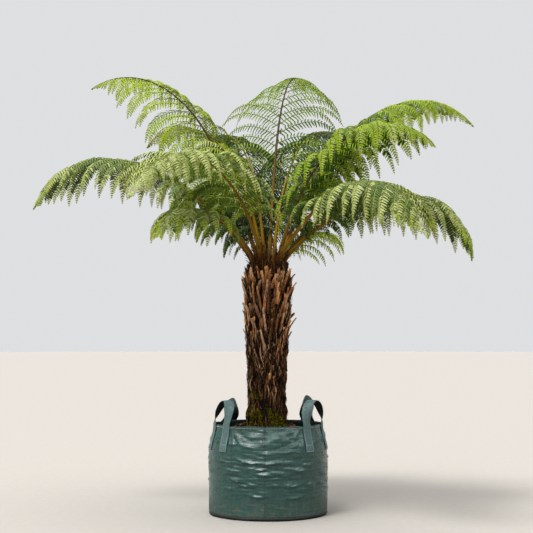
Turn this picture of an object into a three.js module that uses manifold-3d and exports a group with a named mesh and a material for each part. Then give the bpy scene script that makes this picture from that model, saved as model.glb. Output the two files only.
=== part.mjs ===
// A tree fern in a round woven grow bag with four webbing handles.
// Millimetres, +Z up. The origin is the centre of the bag's flat underside,
// X runs to the right of the front view and Y away from it.

import * as THREE from "three";
import { mergeVertices } from "three/addons/utils/BufferGeometryUtils.js";
import Module from "manifold-3d";

const wasm = await Module();
wasm.setup();
const { Manifold, Mesh: SolidMesh } = wasm;

// Driving dimensions.
const GAP = 0.3; // between pieces that touch
const CLEARANCE = 0.8; // cut round a neighbouring frond
const HALF = 0.5;

const BAG = {
  height: 450,
  radius: 299, // of the straight body
  rimRadius: 275, // the mouth is drawn in a little
  footRadius: 286, // where the flat underside ends
  cornerHeight: 22, // of the rounded lower corner
  cornerMiddle: [295, 7], // radius and height halfway round it
  shoulderHeight: 330, // where the body starts to draw in
  wall: 3,
  hemWall: 5,
  hemHeight: 28,
  hemRadius: 276, // at the hem's lower edge
  floor: 4,
  facets: 32,
};

const SOIL = { top: 418, slack: 2 };

const TRUNK = {
  foot: SOIL.top + GAP,
  top: 1250,
  facets: 14,
  footOffset: -7, // the foot stands a little to the left of the bag's centre
  topOffset: -1,
  lobes: 4, // low swells of old frond bases round the stem
  lobeDepth: 3,
};

// Height above the underside, and mean radius there.
const TRUNK_PROFILE = [
  [TRUNK.foot, 106],
  [450, 101],
  [560, 95],
  [680, 95],
  [790, 101],
  [900, 107],
  [1030, 113],
  [1130, 117],
  [1200, 112],
  [TRUNK.top, 104],
];

const HANDLE = {
  width: 50, // webbing
  thickness: 3,
  patchLow: 323, // lowest stitched point of each foot
  seat: 0.5, // between the webbing and the bag's wall
  stations: 20, // round the free loop
  fullness: 0.8, // under 1 gives the loop a broader top
  late: 1.5, // over 1 keeps the loop's lean for its upper part
  twist: 0.5, // under 1 turns the webbing's face up sooner
};

// How each handle stands. Degrees: middle, round the bag from +X; spread, from there to each
// foot; tilt, of the top's face inwards. Millimetres: rise above the rim, lean inwards, skew of
// the top and bulge of the legs along the rim. The fan is how far each leg turns its edge out.
const STANCES = [
  { middle: 40.5, spread: 6, rise: 111, lean: 50, tilt: 60, skew: -30, bulge: 12, fan: [1, 1] },
  { middle: 138.5, spread: 7, rise: 97, lean: 55, tilt: 60, skew: 12, bulge: 12, fan: [1, 1] },
  { middle: 208.5, spread: 13.5, rise: 120, lean: 24, tilt: 0, skew: 28, bulge: 0, fan: [1, 0.35] },
  { middle: 331, spread: 17.5, rise: 122, lean: 0, tilt: 0, skew: -22, bulge: 0, fan: [0.6, 1] },
];

const STIPE = {
  footRadius: 12.5,
  endRadius: 7,
  facets: 6,
  stations: 6,
};

const BLADE = {
  start: 0.2, // share of the frond's length that is bare stipe
  split: 0.6, // the blade is in two pieces, parted where it bends
  end: 0.985,
  thickness: 6,
  stations: 6, // along each piece
  across: 2, // facets from the midrib to each edge
  steps: 8, // of the sum that gives a side leaflet's curve
  sweepFoot: 14, // degrees that the leaflets lean to the tip, at the blade's foot
  sweepGain: 28, // and how much more at its tip
  droopPower: 1,
  narrowest: 10, // half width at the very tip
};

// The outline of half a blade: widest about a third of the way along.
const OUTLINE = { foot: 0.12, swell: 0.6, taper: 0.95 };

// Where the fronds leave the trunk's top: three rings, the youngest inside.
const RINGS = { outer: 87, middle: 63, inner: 36 };
const MIDRIB_STEPS = 80;

// One frond. ring: where its stipe stands. heading: degrees round the plant from +X.
// length: along the midrib. rise and fall: degrees above level at the foot and at the
// tip. bend: how late the midrib turns over. width: the longest side leaflet. droop:
// how far the side leaflets hang. lift: degrees that they rise at first. more: sway, a
// turn of the heading along the frond; roll, a turn of the blade about its midrib; and
// seat, the place on the ring where it isn't the heading.
const frond = (ring, heading, length, rise, fall, bend, width, droop, lift, more = {}) => ({
  ring, heading, length, rise, fall, bend, width, droop, lift, sway: 0, roll: 0, seat: heading, ...more,
});

const FRONDS = [
  frond("inner", 78, 1630, 78, -26, 2.5, 400, 0.72, -6, { sway: -2 }),
  frond("middle", 153, 1640, 71, -27, 2.5, 360, 0.85, 0, { roll: 18 }),
  frond("middle", 17, 1600, 68, -46, 2.3, 340, 0.95, 5),
  frond("middle", 233, 1340, 74, -61, 1.2, 390, 0.85, 8, { sway: 4 }),
  frond("middle", -26, 1270, 75, -55, 1.9, 390, 0.85, 5, { sway: -5 }),
  frond("outer", 172, 1460, 56, -63, 1.8, 370, 0.95, 2),
  frond("outer", -2, 1260, 49.5, -90, 1.77, 360, 0.95, 2, { sway: 5 }),
  frond("outer", -51, 1290, 47, -74, 1.7, 360, 0.95, 2, { sway: -2 }),
  frond("outer", 207, 730, 59, -80, 1.8, 280, 0.85, 5, { sway: 4 }),
  frond("inner", 140, 1320, 79, -41, 1.9, 300, 0.85, 5, { seat: 185 }),
  frond("inner", 112, 1270, 83, -21, 1.5, 330, 0.8, 5, { seat: 130 }),
  frond("inner", 61, 1230, 83, -13, 1.5, 330, 0.8, 5, { seat: 25 }),
  frond("outer", 56, 660, 32, -45, 3.2, 240, 0.85, 2),
  frond("outer", 93, 1250, 52, -55, 1.7, 330, 0.9, 5),
  frond("outer", 121, 1200, 56, -50, 1.7, 330, 0.9, 5),
  frond("outer", 29, 1180, 50, -62, 2, 240, 0.9, 2),
];

const DOWN = new THREE.Vector3(0, 0, -1);

const vector = (x, y, z) => new THREE.Vector3(x, y, z);
const radians = THREE.MathUtils.degToRad;

// The vertices and side faces of rings of equal count, each running the same way round.
function walls(rings) {
  const count = rings[0].length;
  const faces = [];
  for (let i = 0; i < rings.length - 1; i += 1) {
    for (let j = 0; j < count; j += 1) {
      const a = i * count + j;
      const b = i * count + ((j + 1) % count);
      faces.push(a, b, b + count, a, b + count, a + count);
    }
  }
  return { vertices: rings.flat().flatMap((p) => [p.x, p.y, p.z]), faces, last: faces.length / 6 };
}

// A limb: rings closed at both ends with a fan.
function limb(rings) {
  const { vertices, faces, last } = walls(rings);
  for (let j = 1; j < rings[0].length - 1; j += 1) {
    faces.push(0, j + 1, j, last, last + j, last + j + 1);
  }
  return { vertices, faces };
}

// A pad: the points of its upper and lower faces, row by row, closed at both ends.
function pad(upper, lower) {
  const rings = upper.map((row, i) => [...row, ...lower[i].slice().reverse()]);
  const { vertices, faces, last } = walls(rings);
  const columns = upper[0].length;
  for (let j = 0; j < columns - 1; j += 1) {
    const k = 2 * columns - 1 - j;
    faces.push(j, k, k - 1, j, k - 1, j + 1);
    faces.push(last + j, last + k - 1, last + k, last + j, last + j + 1, last + k - 1);
  }
  return { vertices, faces };
}

// A closed solid that can be cut, turned outwards if its rings ran the other way.
function solid({ vertices, faces }) {
  const make = (tri) =>
    new Manifold(
      new SolidMesh({
        numProp: 3,
        vertProperties: new Float32Array(vertices),
        triVerts: new Uint32Array(tri),
      }),
    );
  const body = make(faces);
  if (body.volume() > 0) return body;
  const turned = [];
  for (let i = 0; i < faces.length; i += 3) {
    turned.push(faces[i], faces[i + 2], faces[i + 1]);
  }
  return make(turned);
}

function geometryOf(body) {
  const mesh = body.getMesh();
  const positions = [];
  for (let i = 0; i < mesh.numVert; i += 1) {
    const at = i * mesh.numProp;
    positions.push(mesh.vertProperties[at], mesh.vertProperties[at + 1], mesh.vertProperties[at + 2]);
  }
  const geometry = new THREE.BufferGeometry();
  geometry.setAttribute("position", new THREE.Float32BufferAttribute(positions, 3));
  geometry.setIndex([...mesh.triVerts]);
  geometry.computeVertexNormals();
  return geometry;
}

// A turned solid from points of radius and height that start and end on the axis.
function turned(points) {
  const profile = points.map(([r, z]) => new THREE.Vector2(r, z));
  const geometry = new THREE.LatheGeometry(profile, BAG.facets);
  geometry.rotateX(Math.PI / 2);
  geometry.deleteAttribute("normal");
  geometry.deleteAttribute("uv");
  const merged = mergeVertices(geometry, 0.001);
  merged.computeVertexNormals();
  return merged;
}

function bagGeometry() {
  const hemFoot = BAG.height - BAG.hemHeight;
  return turned([
    [0, 0],
    [BAG.footRadius, 0],
    BAG.cornerMiddle,
    [BAG.radius, BAG.cornerHeight],
    [BAG.radius, BAG.shoulderHeight],
    [BAG.hemRadius, hemFoot],
    [BAG.rimRadius, BAG.height],
    [BAG.rimRadius - BAG.hemWall, BAG.height],
    [BAG.hemRadius - BAG.hemWall, hemFoot],
    [BAG.radius - BAG.wall, BAG.shoulderHeight],
    [BAG.radius - BAG.wall, BAG.cornerHeight],
    [BAG.footRadius, BAG.floor],
    [0, BAG.floor],
  ]);
}

function soilGeometry() {
  const low = BAG.floor + GAP;
  const wide = BAG.radius - BAG.wall - GAP * 2;
  return turned([
    [0, low],
    [BAG.footRadius - SOIL.slack, low],
    [wide, BAG.cornerHeight],
    [wide, BAG.shoulderHeight],
    [BAG.rimRadius - BAG.hemWall - SOIL.slack, SOIL.top],
    [0, SOIL.top],
  ]);
}

function trunkGeometry() {
  const rise = TRUNK.top - TRUNK.foot;
  const rings = TRUNK_PROFILE.map(([z, radius], level) => {
    const share = (z - TRUNK.foot) / rise;
    const centre = THREE.MathUtils.lerp(TRUNK.footOffset, TRUNK.topOffset, share);
    const ring = [];
    for (let k = 0; k < TRUNK.facets; k += 1) {
      const angle = (2 * Math.PI * k) / TRUNK.facets;
      const r = radius + TRUNK.lobeDepth * Math.sin(TRUNK.lobes * angle + level);
      ring.push(vector(centre + r * Math.cos(angle), r * Math.sin(angle), z));
    }
    return ring;
  });
  return geometryOf(solid(limb(rings)));
}

// The midrib: a function of the share u of its length that gives its place there and
// the blade's three directions, T to the tip, N out of the upper face and B to the side.
function midrib(frond) {
  const way = (u) => {
    const pitch = radians(frond.rise + (frond.fall - frond.rise) * u ** frond.bend);
    const turn = radians(frond.heading + frond.sway * u);
    const T = vector(Math.cos(pitch) * Math.cos(turn), Math.cos(pitch) * Math.sin(turn), Math.sin(pitch));
    const up = vector(-Math.sin(pitch) * Math.cos(turn), -Math.sin(pitch) * Math.sin(turn), Math.cos(pitch));
    return { T, up };
  };
  const seat = radians(frond.seat);
  const radius = RINGS[frond.ring];
  const places = [vector(radius * Math.cos(seat), radius * Math.sin(seat), TRUNK.top + GAP)];
  for (let i = 0; i < MIDRIB_STEPS; i += 1) {
    const step = way((i + HALF) / MIDRIB_STEPS).T.multiplyScalar(frond.length / MIDRIB_STEPS);
    places.push(places[i].clone().add(step));
  }
  const roll = radians(frond.roll);
  return (u) => {
    const at = Math.min(u, 1) * MIDRIB_STEPS;
    const low = Math.min(Math.floor(at), MIDRIB_STEPS - 1);
    const place = places[low].clone().lerp(places[low + 1], at - low);
    const { T, up } = way(u);
    const across = T.clone().cross(up);
    const N = up.clone().multiplyScalar(Math.cos(roll)).addScaledVector(across, -Math.sin(roll));
    const B = across.clone().multiplyScalar(Math.cos(roll)).addScaledVector(up, Math.sin(roll));
    return { place, T, N, B };
  };
}

// Half width of the blade at share v of the blade's length, over its greatest.
function outline(v) {
  const { foot, swell, taper } = OUTLINE;
  const raw = (x) => (x + foot) ** swell * (1 - x) ** taper;
  const widest = (swell - taper * foot) / (swell + taper);
  return raw(Math.min(Math.max(v, 0), 1)) / raw(widest);
}

// A point of the blade: share u along the frond, share t of the way out on one side.
function bladePoint(frond, rib, u, side, t, extra = 0) {
  const { place, T, N, B } = rib(u);
  const v = (u - BLADE.start) / (1 - BLADE.start);
  const reach = Math.max(frond.width * outline(v), BLADE.narrowest) + extra;
  const sweep = radians(BLADE.sweepFoot + BLADE.sweepGain * v);
  const lift = radians(frond.lift);
  const first = B.clone().multiplyScalar(side * Math.cos(lift)).addScaledVector(N, Math.sin(lift));
  first.multiplyScalar(Math.cos(sweep)).addScaledVector(T, Math.sin(sweep));
  const point = place.clone();
  for (let i = 0; i < BLADE.steps; i += 1) {
    const share = (t * (i + HALF)) / BLADE.steps;
    const hang = frond.droop * share ** BLADE.droopPower;
    const way = first.clone().multiplyScalar(1 - hang).addScaledVector(DOWN, hang).normalize();
    point.addScaledVector(way, (reach * t) / BLADE.steps);
  }
  return point;
}

// The blade's normal there, from its own small steps along and across.
function bladeNormal(frond, rib, u, side, t) {
  const step = 0.01;
  const at = (du, dt) => bladePoint(frond, rib, u + du, side, Math.max(t + dt, 0));
  const along = at(step, 0).sub(at(-step, 0));
  const out = at(0, step).sub(at(0, -step));
  return out.cross(along).multiplyScalar(side).normalize();
}

// One piece of blade from share u0 to u1, with its faces and edges grown by extra.
function bladeSolid(frond, u0, u1, extra = 0) {
  const rib = midrib(frond);
  const top = [];
  const bottom = [];
  const spill = extra / frond.length;
  for (let i = 0; i < BLADE.stations; i += 1) {
    const u = THREE.MathUtils.lerp(u0 - spill, u1 + spill, i / (BLADE.stations - 1));
    const upper = [];
    const lower = [];
    for (let j = -BLADE.across; j <= BLADE.across; j += 1) {
      const side = j < 0 ? -1 : 1;
      const t = Math.abs(j) / BLADE.across;
      const point = bladePoint(frond, rib, u, side, t, extra);
      const normal = j === 0 ? rib(u).N : bladeNormal(frond, rib, u, side, t);
      const half = BLADE.thickness * HALF + extra;
      upper.push(point.clone().addScaledVector(normal, half));
      lower.push(point.clone().addScaledVector(normal, -half));
    }
    top.push(upper);
    bottom.push(lower);
  }
  return solid(pad(top, bottom));
}

// The bare stipe: one tapering limb with a level foot on the trunk's top.
function stipeSolid(frond, extra = 0) {
  const rib = midrib(frond);
  const rings = [];
  const end = BLADE.start - GAP / frond.length;
  for (let i = 0; i < STIPE.stations; i += 1) {
    const share = i / (STIPE.stations - 1);
    const { place, T, N, B } = rib(end * share);
    const radius = THREE.MathUtils.lerp(STIPE.footRadius, STIPE.endRadius, share) + extra;
    const ring = [];
    for (let k = 0; k < STIPE.facets; k += 1) {
      const angle = (2 * Math.PI * k) / STIPE.facets;
      const spoke = B.clone().multiplyScalar(radius * Math.cos(angle));
      spoke.addScaledVector(N, radius * Math.sin(angle));
      if (i === 0) spoke.addScaledVector(T, -spoke.z / T.z);
      ring.push(place.clone().add(spoke));
    }
    rings.push(ring);
  }
  return solid(limb(rings));
}

// The largest single body left of a blade when its neighbours are cut out of it.
function cutClear(body, cutters) {
  let left = body;
  for (const cutter of cutters) {
    if (left.intersect(cutter).volume() > 0) left = left.subtract(cutter);
  }
  const parts = left.decompose();
  parts.sort((a, b) => b.volume() - a.volume());
  return parts[0];
}

function frondPieces() {
  const stipes = FRONDS.map((frond) => stipeSolid(frond));
  const grownStipes = FRONDS.map((frond) => stipeSolid(frond, CLEARANCE));
  const kept = [];
  const pieces = FRONDS.map((frond, index) => {
    const others = grownStipes.filter((_, k) => k !== index);
    const gap = GAP / frond.length;
    const spans = [
      [BLADE.start + gap, BLADE.split - gap],
      [BLADE.split + gap, BLADE.end],
    ];
    const blades = spans.map(([u0, u1]) => cutClear(bladeSolid(frond, u0, u1), [...others, ...kept]));
    kept.push(...spans.map(([u0, u1]) => bladeSolid(frond, u0, u1, CLEARANCE)));
    return { stipe: stipes[index], inner: blades[0], outer: blades[1] };
  });
  return pieces;
}

// One handle: webbing from a patch on the wall up over a loop and down to a second patch.
function handleGeometry({ middle, spread, rise, lean, tilt, skew, bulge, fan }) {
  const hemFoot = BAG.height - BAG.hemHeight;
  const wallRadius = (z) => {
    const share = THREE.MathUtils.clamp((z - BAG.shoulderHeight) / (hemFoot - BAG.shoulderHeight), 0, 1);
    return THREE.MathUtils.lerp(BAG.radius, BAG.hemRadius, share) + HANDLE.seat + HANDLE.thickness * HALF;
  };
  const stations = [];
  const foot = (side) => {
    const angle = radians(middle + side * spread);
    const outward = vector(Math.cos(angle), Math.sin(angle), 0);
    const heights = [HANDLE.patchLow, BAG.shoulderHeight, hemFoot, BAG.height];
    return heights.map((z) => {
      const place = outward.clone().multiplyScalar(wallRadius(z));
      place.z = z;
      return { place, face: outward.clone() };
    });
  };
  const angle = radians(middle);
  const outward = vector(Math.cos(angle), Math.sin(angle), 0);
  const sideways = vector(-Math.sin(angle), Math.cos(angle), 0);
  const crown = outward.clone().multiplyScalar(-Math.sin(radians(tilt)));
  crown.z = Math.cos(radians(tilt));
  const mouth = wallRadius(BAG.height);
  const base = outward.clone().multiplyScalar(mouth * Math.cos(radians(spread)));
  base.z = BAG.height;
  stations.push(...foot(-1));
  for (let i = 1; i < HANDLE.stations; i += 1) {
    const turn = Math.PI * (1 - i / HANDLE.stations);
    const arch = Math.sin(turn) ** HANDLE.fullness;
    const aside = (mouth * Math.sin(radians(spread)) + bulge * Math.sin(turn)) * Math.cos(turn);
    const place = base.clone().addScaledVector(sideways, aside + skew * arch);
    place.addScaledVector(outward, -lean * arch ** HANDLE.late);
    place.z += rise * arch;
    const over = Math.sin(turn) ** HANDLE.twist;
    const edge = fan[turn > Math.PI * HALF ? 0 : 1] * Math.cos(turn);
    const aloft = sideways.clone().multiplyScalar(edge).addScaledVector(crown, Math.sin(turn));
    const face = outward.clone().multiplyScalar(1 - over).addScaledVector(aloft, over).normalize();
    stations.push({ place, face });
  }
  stations.push(...foot(1).reverse());
  const rings = stations.map(({ place, face }, i) => {
    const before = stations[Math.max(i - 1, 0)].place;
    const after = stations[Math.min(i + 1, stations.length - 1)].place;
    const along = after.clone().sub(before).normalize();
    const across = along.clone().cross(face).normalize();
    const normal = across.clone().cross(along).normalize();
    const corner = (a, b) =>
      place
        .clone()
        .addScaledVector(across, a * HANDLE.width * HALF)
        .addScaledVector(normal, b * HANDLE.thickness * HALF);
    return [corner(-1, -1), corner(1, -1), corner(1, 1), corner(-1, 1)].map((p) => p.toArray());
  });
  const lengths = rings.slice(1).map((ring, i) => Manifold.hull([...rings[i], ...ring]));
  return geometryOf(Manifold.union(lengths));
}

const finish = (color, roughness) => new THREE.MeshStandardMaterial({ color, roughness, metalness: 0 });

const MATERIALS = {
  bag: () => finish(0x2f5a55, 0.45),
  webbing: () => finish(0x5f7c7e, 0.7),
  soil: () => finish(0x3a2a1e, 0.95),
  bark: () => finish(0x4a3121, 0.95),
  stipe: () => finish(0x7a6425, 0.6),
  leaf: () => finish(0x6f8f3a, 0.55),
};

function assembly() {
  const group = new THREE.Group();
  group.name = "tree_fern";
  const add = (name, geometry, material, parent = group) => {
    const mesh = new THREE.Mesh(geometry, material);
    mesh.name = name;
    parent.add(mesh);
  };
  add("grow_bag", bagGeometry(), MATERIALS.bag());
  add("soil", soilGeometry(), MATERIALS.soil());
  add("trunk", trunkGeometry(), MATERIALS.bark());
  STANCES.forEach((stance, i) => {
    add(`handle_${i + 1}`, handleGeometry(stance), MATERIALS.webbing());
  });
  frondPieces().forEach((piece, i) => {
    const frond = new THREE.Group();
    const name = `frond_${String(i + 1).padStart(2, "0")}`;
    group.add(frond);
    add(`${name}_stipe`, geometryOf(piece.stipe), MATERIALS.stipe(), frond);
    add(`${name}_inner_blade`, geometryOf(piece.inner), MATERIALS.leaf(), frond);
    add(`${name}_outer_blade`, geometryOf(piece.outer), MATERIALS.leaf(), frond);
  });
  return group;
}

export default assembly();
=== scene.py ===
"""The looks of a tree fern in a woven grow bag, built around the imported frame.

Metres, +Z up. The origin is the centre of the bag's flat underside, X runs to the right of the
front view and Y away from it.
"""

import logging
import math
from collections.abc import Callable, Iterator
from contextlib import contextmanager
from dataclasses import dataclass, field
from enum import Enum
from typing import ClassVar

import bmesh
import bpy
import numpy as np
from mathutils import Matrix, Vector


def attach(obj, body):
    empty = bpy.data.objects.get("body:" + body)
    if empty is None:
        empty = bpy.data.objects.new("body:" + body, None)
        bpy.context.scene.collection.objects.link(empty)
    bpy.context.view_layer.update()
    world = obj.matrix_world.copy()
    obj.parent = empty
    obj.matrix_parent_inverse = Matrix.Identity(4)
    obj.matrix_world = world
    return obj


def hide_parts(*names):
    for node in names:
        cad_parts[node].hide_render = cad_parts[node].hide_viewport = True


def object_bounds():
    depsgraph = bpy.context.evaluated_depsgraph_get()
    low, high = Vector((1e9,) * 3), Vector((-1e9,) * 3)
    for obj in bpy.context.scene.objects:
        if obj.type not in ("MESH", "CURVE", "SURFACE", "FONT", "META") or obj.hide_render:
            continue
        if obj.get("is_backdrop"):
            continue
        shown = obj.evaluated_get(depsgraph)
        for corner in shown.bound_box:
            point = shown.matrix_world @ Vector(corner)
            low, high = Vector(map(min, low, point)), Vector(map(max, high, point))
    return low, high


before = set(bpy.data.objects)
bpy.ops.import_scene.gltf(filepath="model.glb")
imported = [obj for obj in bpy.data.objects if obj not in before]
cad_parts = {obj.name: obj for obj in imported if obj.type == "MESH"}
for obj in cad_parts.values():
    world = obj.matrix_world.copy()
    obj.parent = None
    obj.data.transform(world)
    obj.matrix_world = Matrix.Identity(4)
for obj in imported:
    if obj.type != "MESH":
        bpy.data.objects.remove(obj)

LOG = logging.getLogger("tree_fern")
BODY = "root"
UP = np.array([0.0, 0.0, 1.0])

Colour = tuple[float, float, float]
Object = bpy.types.Object
Socket = bpy.types.NodeSocket


def unit(vectors: np.ndarray) -> np.ndarray:
    """Vectors of length one along the last axis."""
    return vectors / np.maximum(np.linalg.norm(vectors, axis=-1, keepdims=True), 1e-12)


def spokes(angle: np.ndarray) -> np.ndarray:
    """Level directions outwards, at angles round the axis."""
    return np.stack([np.cos(angle), np.sin(angle), np.zeros_like(angle)], axis=-1)


def rounds(angle: np.ndarray) -> np.ndarray:
    """Level directions on round the axis, square to the spokes."""
    return np.stack([-np.sin(angle), np.cos(angle), np.zeros_like(angle)], axis=-1)


def drum(angle: np.ndarray, height: np.ndarray, radius: float) -> np.ndarray:
    """Places on an upright drum."""
    return spokes(angle) * radius + UP * height[..., None]


def apart(angle: np.ndarray, middle: float) -> np.ndarray:
    """How far angles are from a middle one, from -pi to pi."""
    return np.mod(angle - middle + math.pi, 2 * math.pi) - math.pi


def squared(vectors: np.ndarray, way: np.ndarray) -> np.ndarray:
    """Vectors turned square to a way, of length one."""
    return unit(vectors - way * np.sum(vectors * way, axis=-1, keepdims=True))


def bell(off: np.ndarray, width: np.ndarray | float) -> np.ndarray:
    """1 in the middle, falling smoothly to 0 over about two widths."""
    return np.exp(-((off / width) ** 2))


def ease(share: np.ndarray) -> np.ndarray:
    """A smooth step from 0 to 1, held outside that range."""
    share = np.clip(share, 0.0, 1.0)
    return share * share * (3 - 2 * share)


def grain(points: np.ndarray, cell: float | tuple[float, float, float], seed: int) -> np.ndarray:
    """Smooth seeded relief.

    Args:
        points: places, one row each.
        cell: the size of one swell, the same each way or one number for each axis.
        seed: picks the pattern.

    Returns:
        One number from -1 to 1 for each place.
    """
    at = points / np.asarray(cell)
    low = np.floor(at).astype(np.int64)
    part = ease(at - low)
    total = np.zeros(len(points))
    for corner in np.ndindex(2, 2, 2):
        x, y, z = (low + corner).T
        mixed = x * 374761393 + y * 668265263 + z * 1442695041 + seed * 1013904223
        mixed = (mixed ^ (mixed >> 13)) * 1274126177
        value = ((mixed ^ (mixed >> 16)) & 0xFFFF) / 32767.5 - 1
        total += value * np.prod(np.where(corner, part, 1 - part), axis=1)
    return total


class Bench:
    """Short calls for modelling by hand, with one object held at a time."""

    @staticmethod
    def clear() -> None:
        """Leaves nothing selected."""
        bpy.ops.object.select_all(action="DESELECT")

    @staticmethod
    def hold(obj: Object) -> None:
        """Selects one object alone and makes it active."""
        Bench.clear()
        obj.select_set(True)
        bpy.context.view_layer.objects.active = obj

    @staticmethod
    def named(name: str) -> Object:
        """The object that was just added, renamed, with its place in its mesh."""
        obj = bpy.context.object
        obj.name = obj.data.name = name
        Bench.hold(obj)
        bpy.ops.object.transform_apply(location=True, rotation=True, scale=True)
        return obj

    @staticmethod
    @contextmanager
    def editing(obj: Object) -> Iterator[bmesh.types.BMesh]:
        """Edit mode on one object, with nothing selected in it at first."""
        Bench.hold(obj)
        bpy.ops.object.mode_set(mode="EDIT")
        bpy.ops.mesh.select_all(action="DESELECT")
        yield bmesh.from_edit_mesh(obj.data)
        bpy.ops.object.mode_set(mode="OBJECT")

    @staticmethod
    def pick(obj: Object, parts: bmesh.types.BMVertSeq, test: Callable[[object], bool]) -> None:
        """Selects the vertices, edges or faces that pass a test, and nothing else."""
        bpy.ops.mesh.select_all(action="DESELECT")
        for part in parts:
            if test(part):
                part.select_set(True)
        bmesh.update_edit_mesh(obj.data)

    @staticmethod
    def modify(obj: Object, kind: str, **settings: object) -> None:
        """Adds a modifier with these settings and applies it."""
        Bench.hold(obj)
        modifier = obj.modifiers.new(kind.lower(), kind)
        for name, value in settings.items():
            setattr(modifier, name, value)
        bpy.ops.object.modifier_apply(modifier=modifier.name)

    @staticmethod
    def sleeve(name: str, radius: float, low: float, high: float, around: int, rings: int,
               capped: bool = False) -> Object:
        """An upright tube of many rings.

        Args:
            name: the object's name.
            radius: of the tube.
            low: height of its foot.
            high: height of its top.
            around: faces round it.
            rings: faces up it.
            capped: whether its ends are closed.

        Returns:
            The tube.
        """
        Bench.clear()
        bpy.ops.mesh.primitive_cylinder_add(
            vertices=around, radius=radius, depth=high - low, location=(0, 0, (low + high) / 2),
            end_fill_type="NGON" if capped else "NOTHING",
        )
        obj = Bench.named(name)
        with Bench.editing(obj) as mesh:
            half = (high - low) / 2
            Bench.pick(obj, mesh.edges, lambda e: abs(e.verts[0].co.z - e.verts[1].co.z) > half)
            bpy.ops.mesh.subdivide(number_cuts=rings - 1)
        return obj

    @staticmethod
    def places(obj: Object) -> np.ndarray:
        """The vertices of an object's mesh, one row each."""
        flat = np.empty(len(obj.data.vertices) * 3)
        obj.data.vertices.foreach_get("co", flat)
        return flat.reshape(-1, 3)

    @staticmethod
    def move(obj: Object, points: np.ndarray) -> None:
        """Puts an object's vertices at new places."""
        obj.data.vertices.foreach_set("co", points.astype(np.float32).ravel())
        obj.data.update()

    @staticmethod
    def mark(obj: Object, name: str, values: np.ndarray) -> None:
        """Gives each vertex a number that a finish can read."""
        attribute = obj.data.attributes.new(name, "FLOAT", "POINT")
        attribute.data.foreach_set("value", values.astype(np.float32).ravel())

    @staticmethod
    def dress(obj: Object, *finishes: "Finish") -> None:
        """Gives an object its finishes, in place of any materials it has."""
        obj.data.materials.clear()
        for finish in finishes:
            obj.data.materials.append(finish.material())

    @staticmethod
    def smooth(obj: Object, degrees: float = 45.0) -> None:
        """Shades an object smooth, but for its sharp edges."""
        Bench.hold(obj)
        bpy.ops.object.shade_smooth_by_angle(angle=math.radians(degrees))


@dataclass
class Stamp:
    """A small shape modelled once and held as arrays, for its copies.

    points has a row for each vertex, corners the vertex of each face corner, and counts the
    corners of each face.
    """

    points: np.ndarray
    corners: np.ndarray
    counts: np.ndarray

    @classmethod
    def of(cls, obj: Object) -> "Stamp":
        """Takes a finished shape's mesh as arrays, and removes its object.

        Args:
            obj: the shape.

        Returns:
            The stamp.
        """
        mesh = obj.data
        corners = np.empty(len(mesh.loops), np.int64)
        mesh.loops.foreach_get("vertex_index", corners)
        counts = np.empty(len(mesh.polygons), np.int64)
        mesh.polygons.foreach_get("loop_total", counts)
        stamp = cls(Bench.places(obj), corners, counts)
        bpy.data.objects.remove(obj)
        bpy.data.meshes.remove(mesh)
        return stamp

    def laid(self, places: np.ndarray, x: np.ndarray, y: np.ndarray, z: np.ndarray) -> np.ndarray:
        """Copies of the shape, each in a frame of its own.

        Args:
            places: where each copy's origin goes, one row each.
            x: each copy's x direction, as long as the shape is to be that way.
            y: each copy's y direction.
            z: each copy's z direction.

        Returns:
            The copies' vertices, an array for each.
        """
        frames = np.stack([x, y, z], axis=1)
        return np.einsum("vk,nkc->nvc", self.points, frames) + places[:, None, :]

    def levels(self) -> tuple[np.ndarray, np.ndarray]:
        """The heights of an upright shape's rings, and the ring that each vertex is on."""
        return np.unique(self.points[:, 2].round(5), return_inverse=True)

    def along(self, line: "Line", radius: np.ndarray, ring: np.ndarray | None = None) -> np.ndarray:
        """Copies of an upright unit tube, each bent along a line of its own.

        Args:
            line: the lines, with a station for each ring of the tube.
            radius: the tubes' radius at each station.
            ring: the ring that each vertex is on, where its height doesn't say.

        Returns:
            The copies' vertices, an array for each.
        """
        ring = self.levels()[1] if ring is None else ring
        x, y = self.points[:, 0, None], self.points[:, 1, None]
        return line.place[:, ring] + radius[:, ring, None] * (x * line.side[:, ring] + y * line.up[:, ring])


@dataclass
class Line:
    """Lines through space: at each station a place, and directions along, to the side and up."""

    place: np.ndarray
    along: np.ndarray
    side: np.ndarray
    up: np.ndarray

    @classmethod
    def through(cls, place: np.ndarray, up: np.ndarray) -> "Line":
        """Lines through rows of places, with the upper side held to a direction."""
        along = unit(np.gradient(place, axis=1))
        side = unit(np.cross(along, up))
        return cls(place, along, side, np.cross(side, along))

    def picked(self, index: object) -> "Line":
        """The lines with each of their arrays indexed the same way."""
        return Line(self.place[index], self.along[index], self.side[index], self.up[index])

    def between(self, of: np.ndarray, station: np.ndarray) -> "Line":
        """Single places on some of the lines, at stations that needn't be whole."""
        low = np.minimum(station.astype(int), self.place.shape[1] - 2)
        part = (station - low)[:, None]
        arrays = (self.place, self.along, self.side, self.up)
        return Line(*(rows[of, low] * (1 - part) + rows[of, low + 1] * part for rows in arrays))


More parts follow.
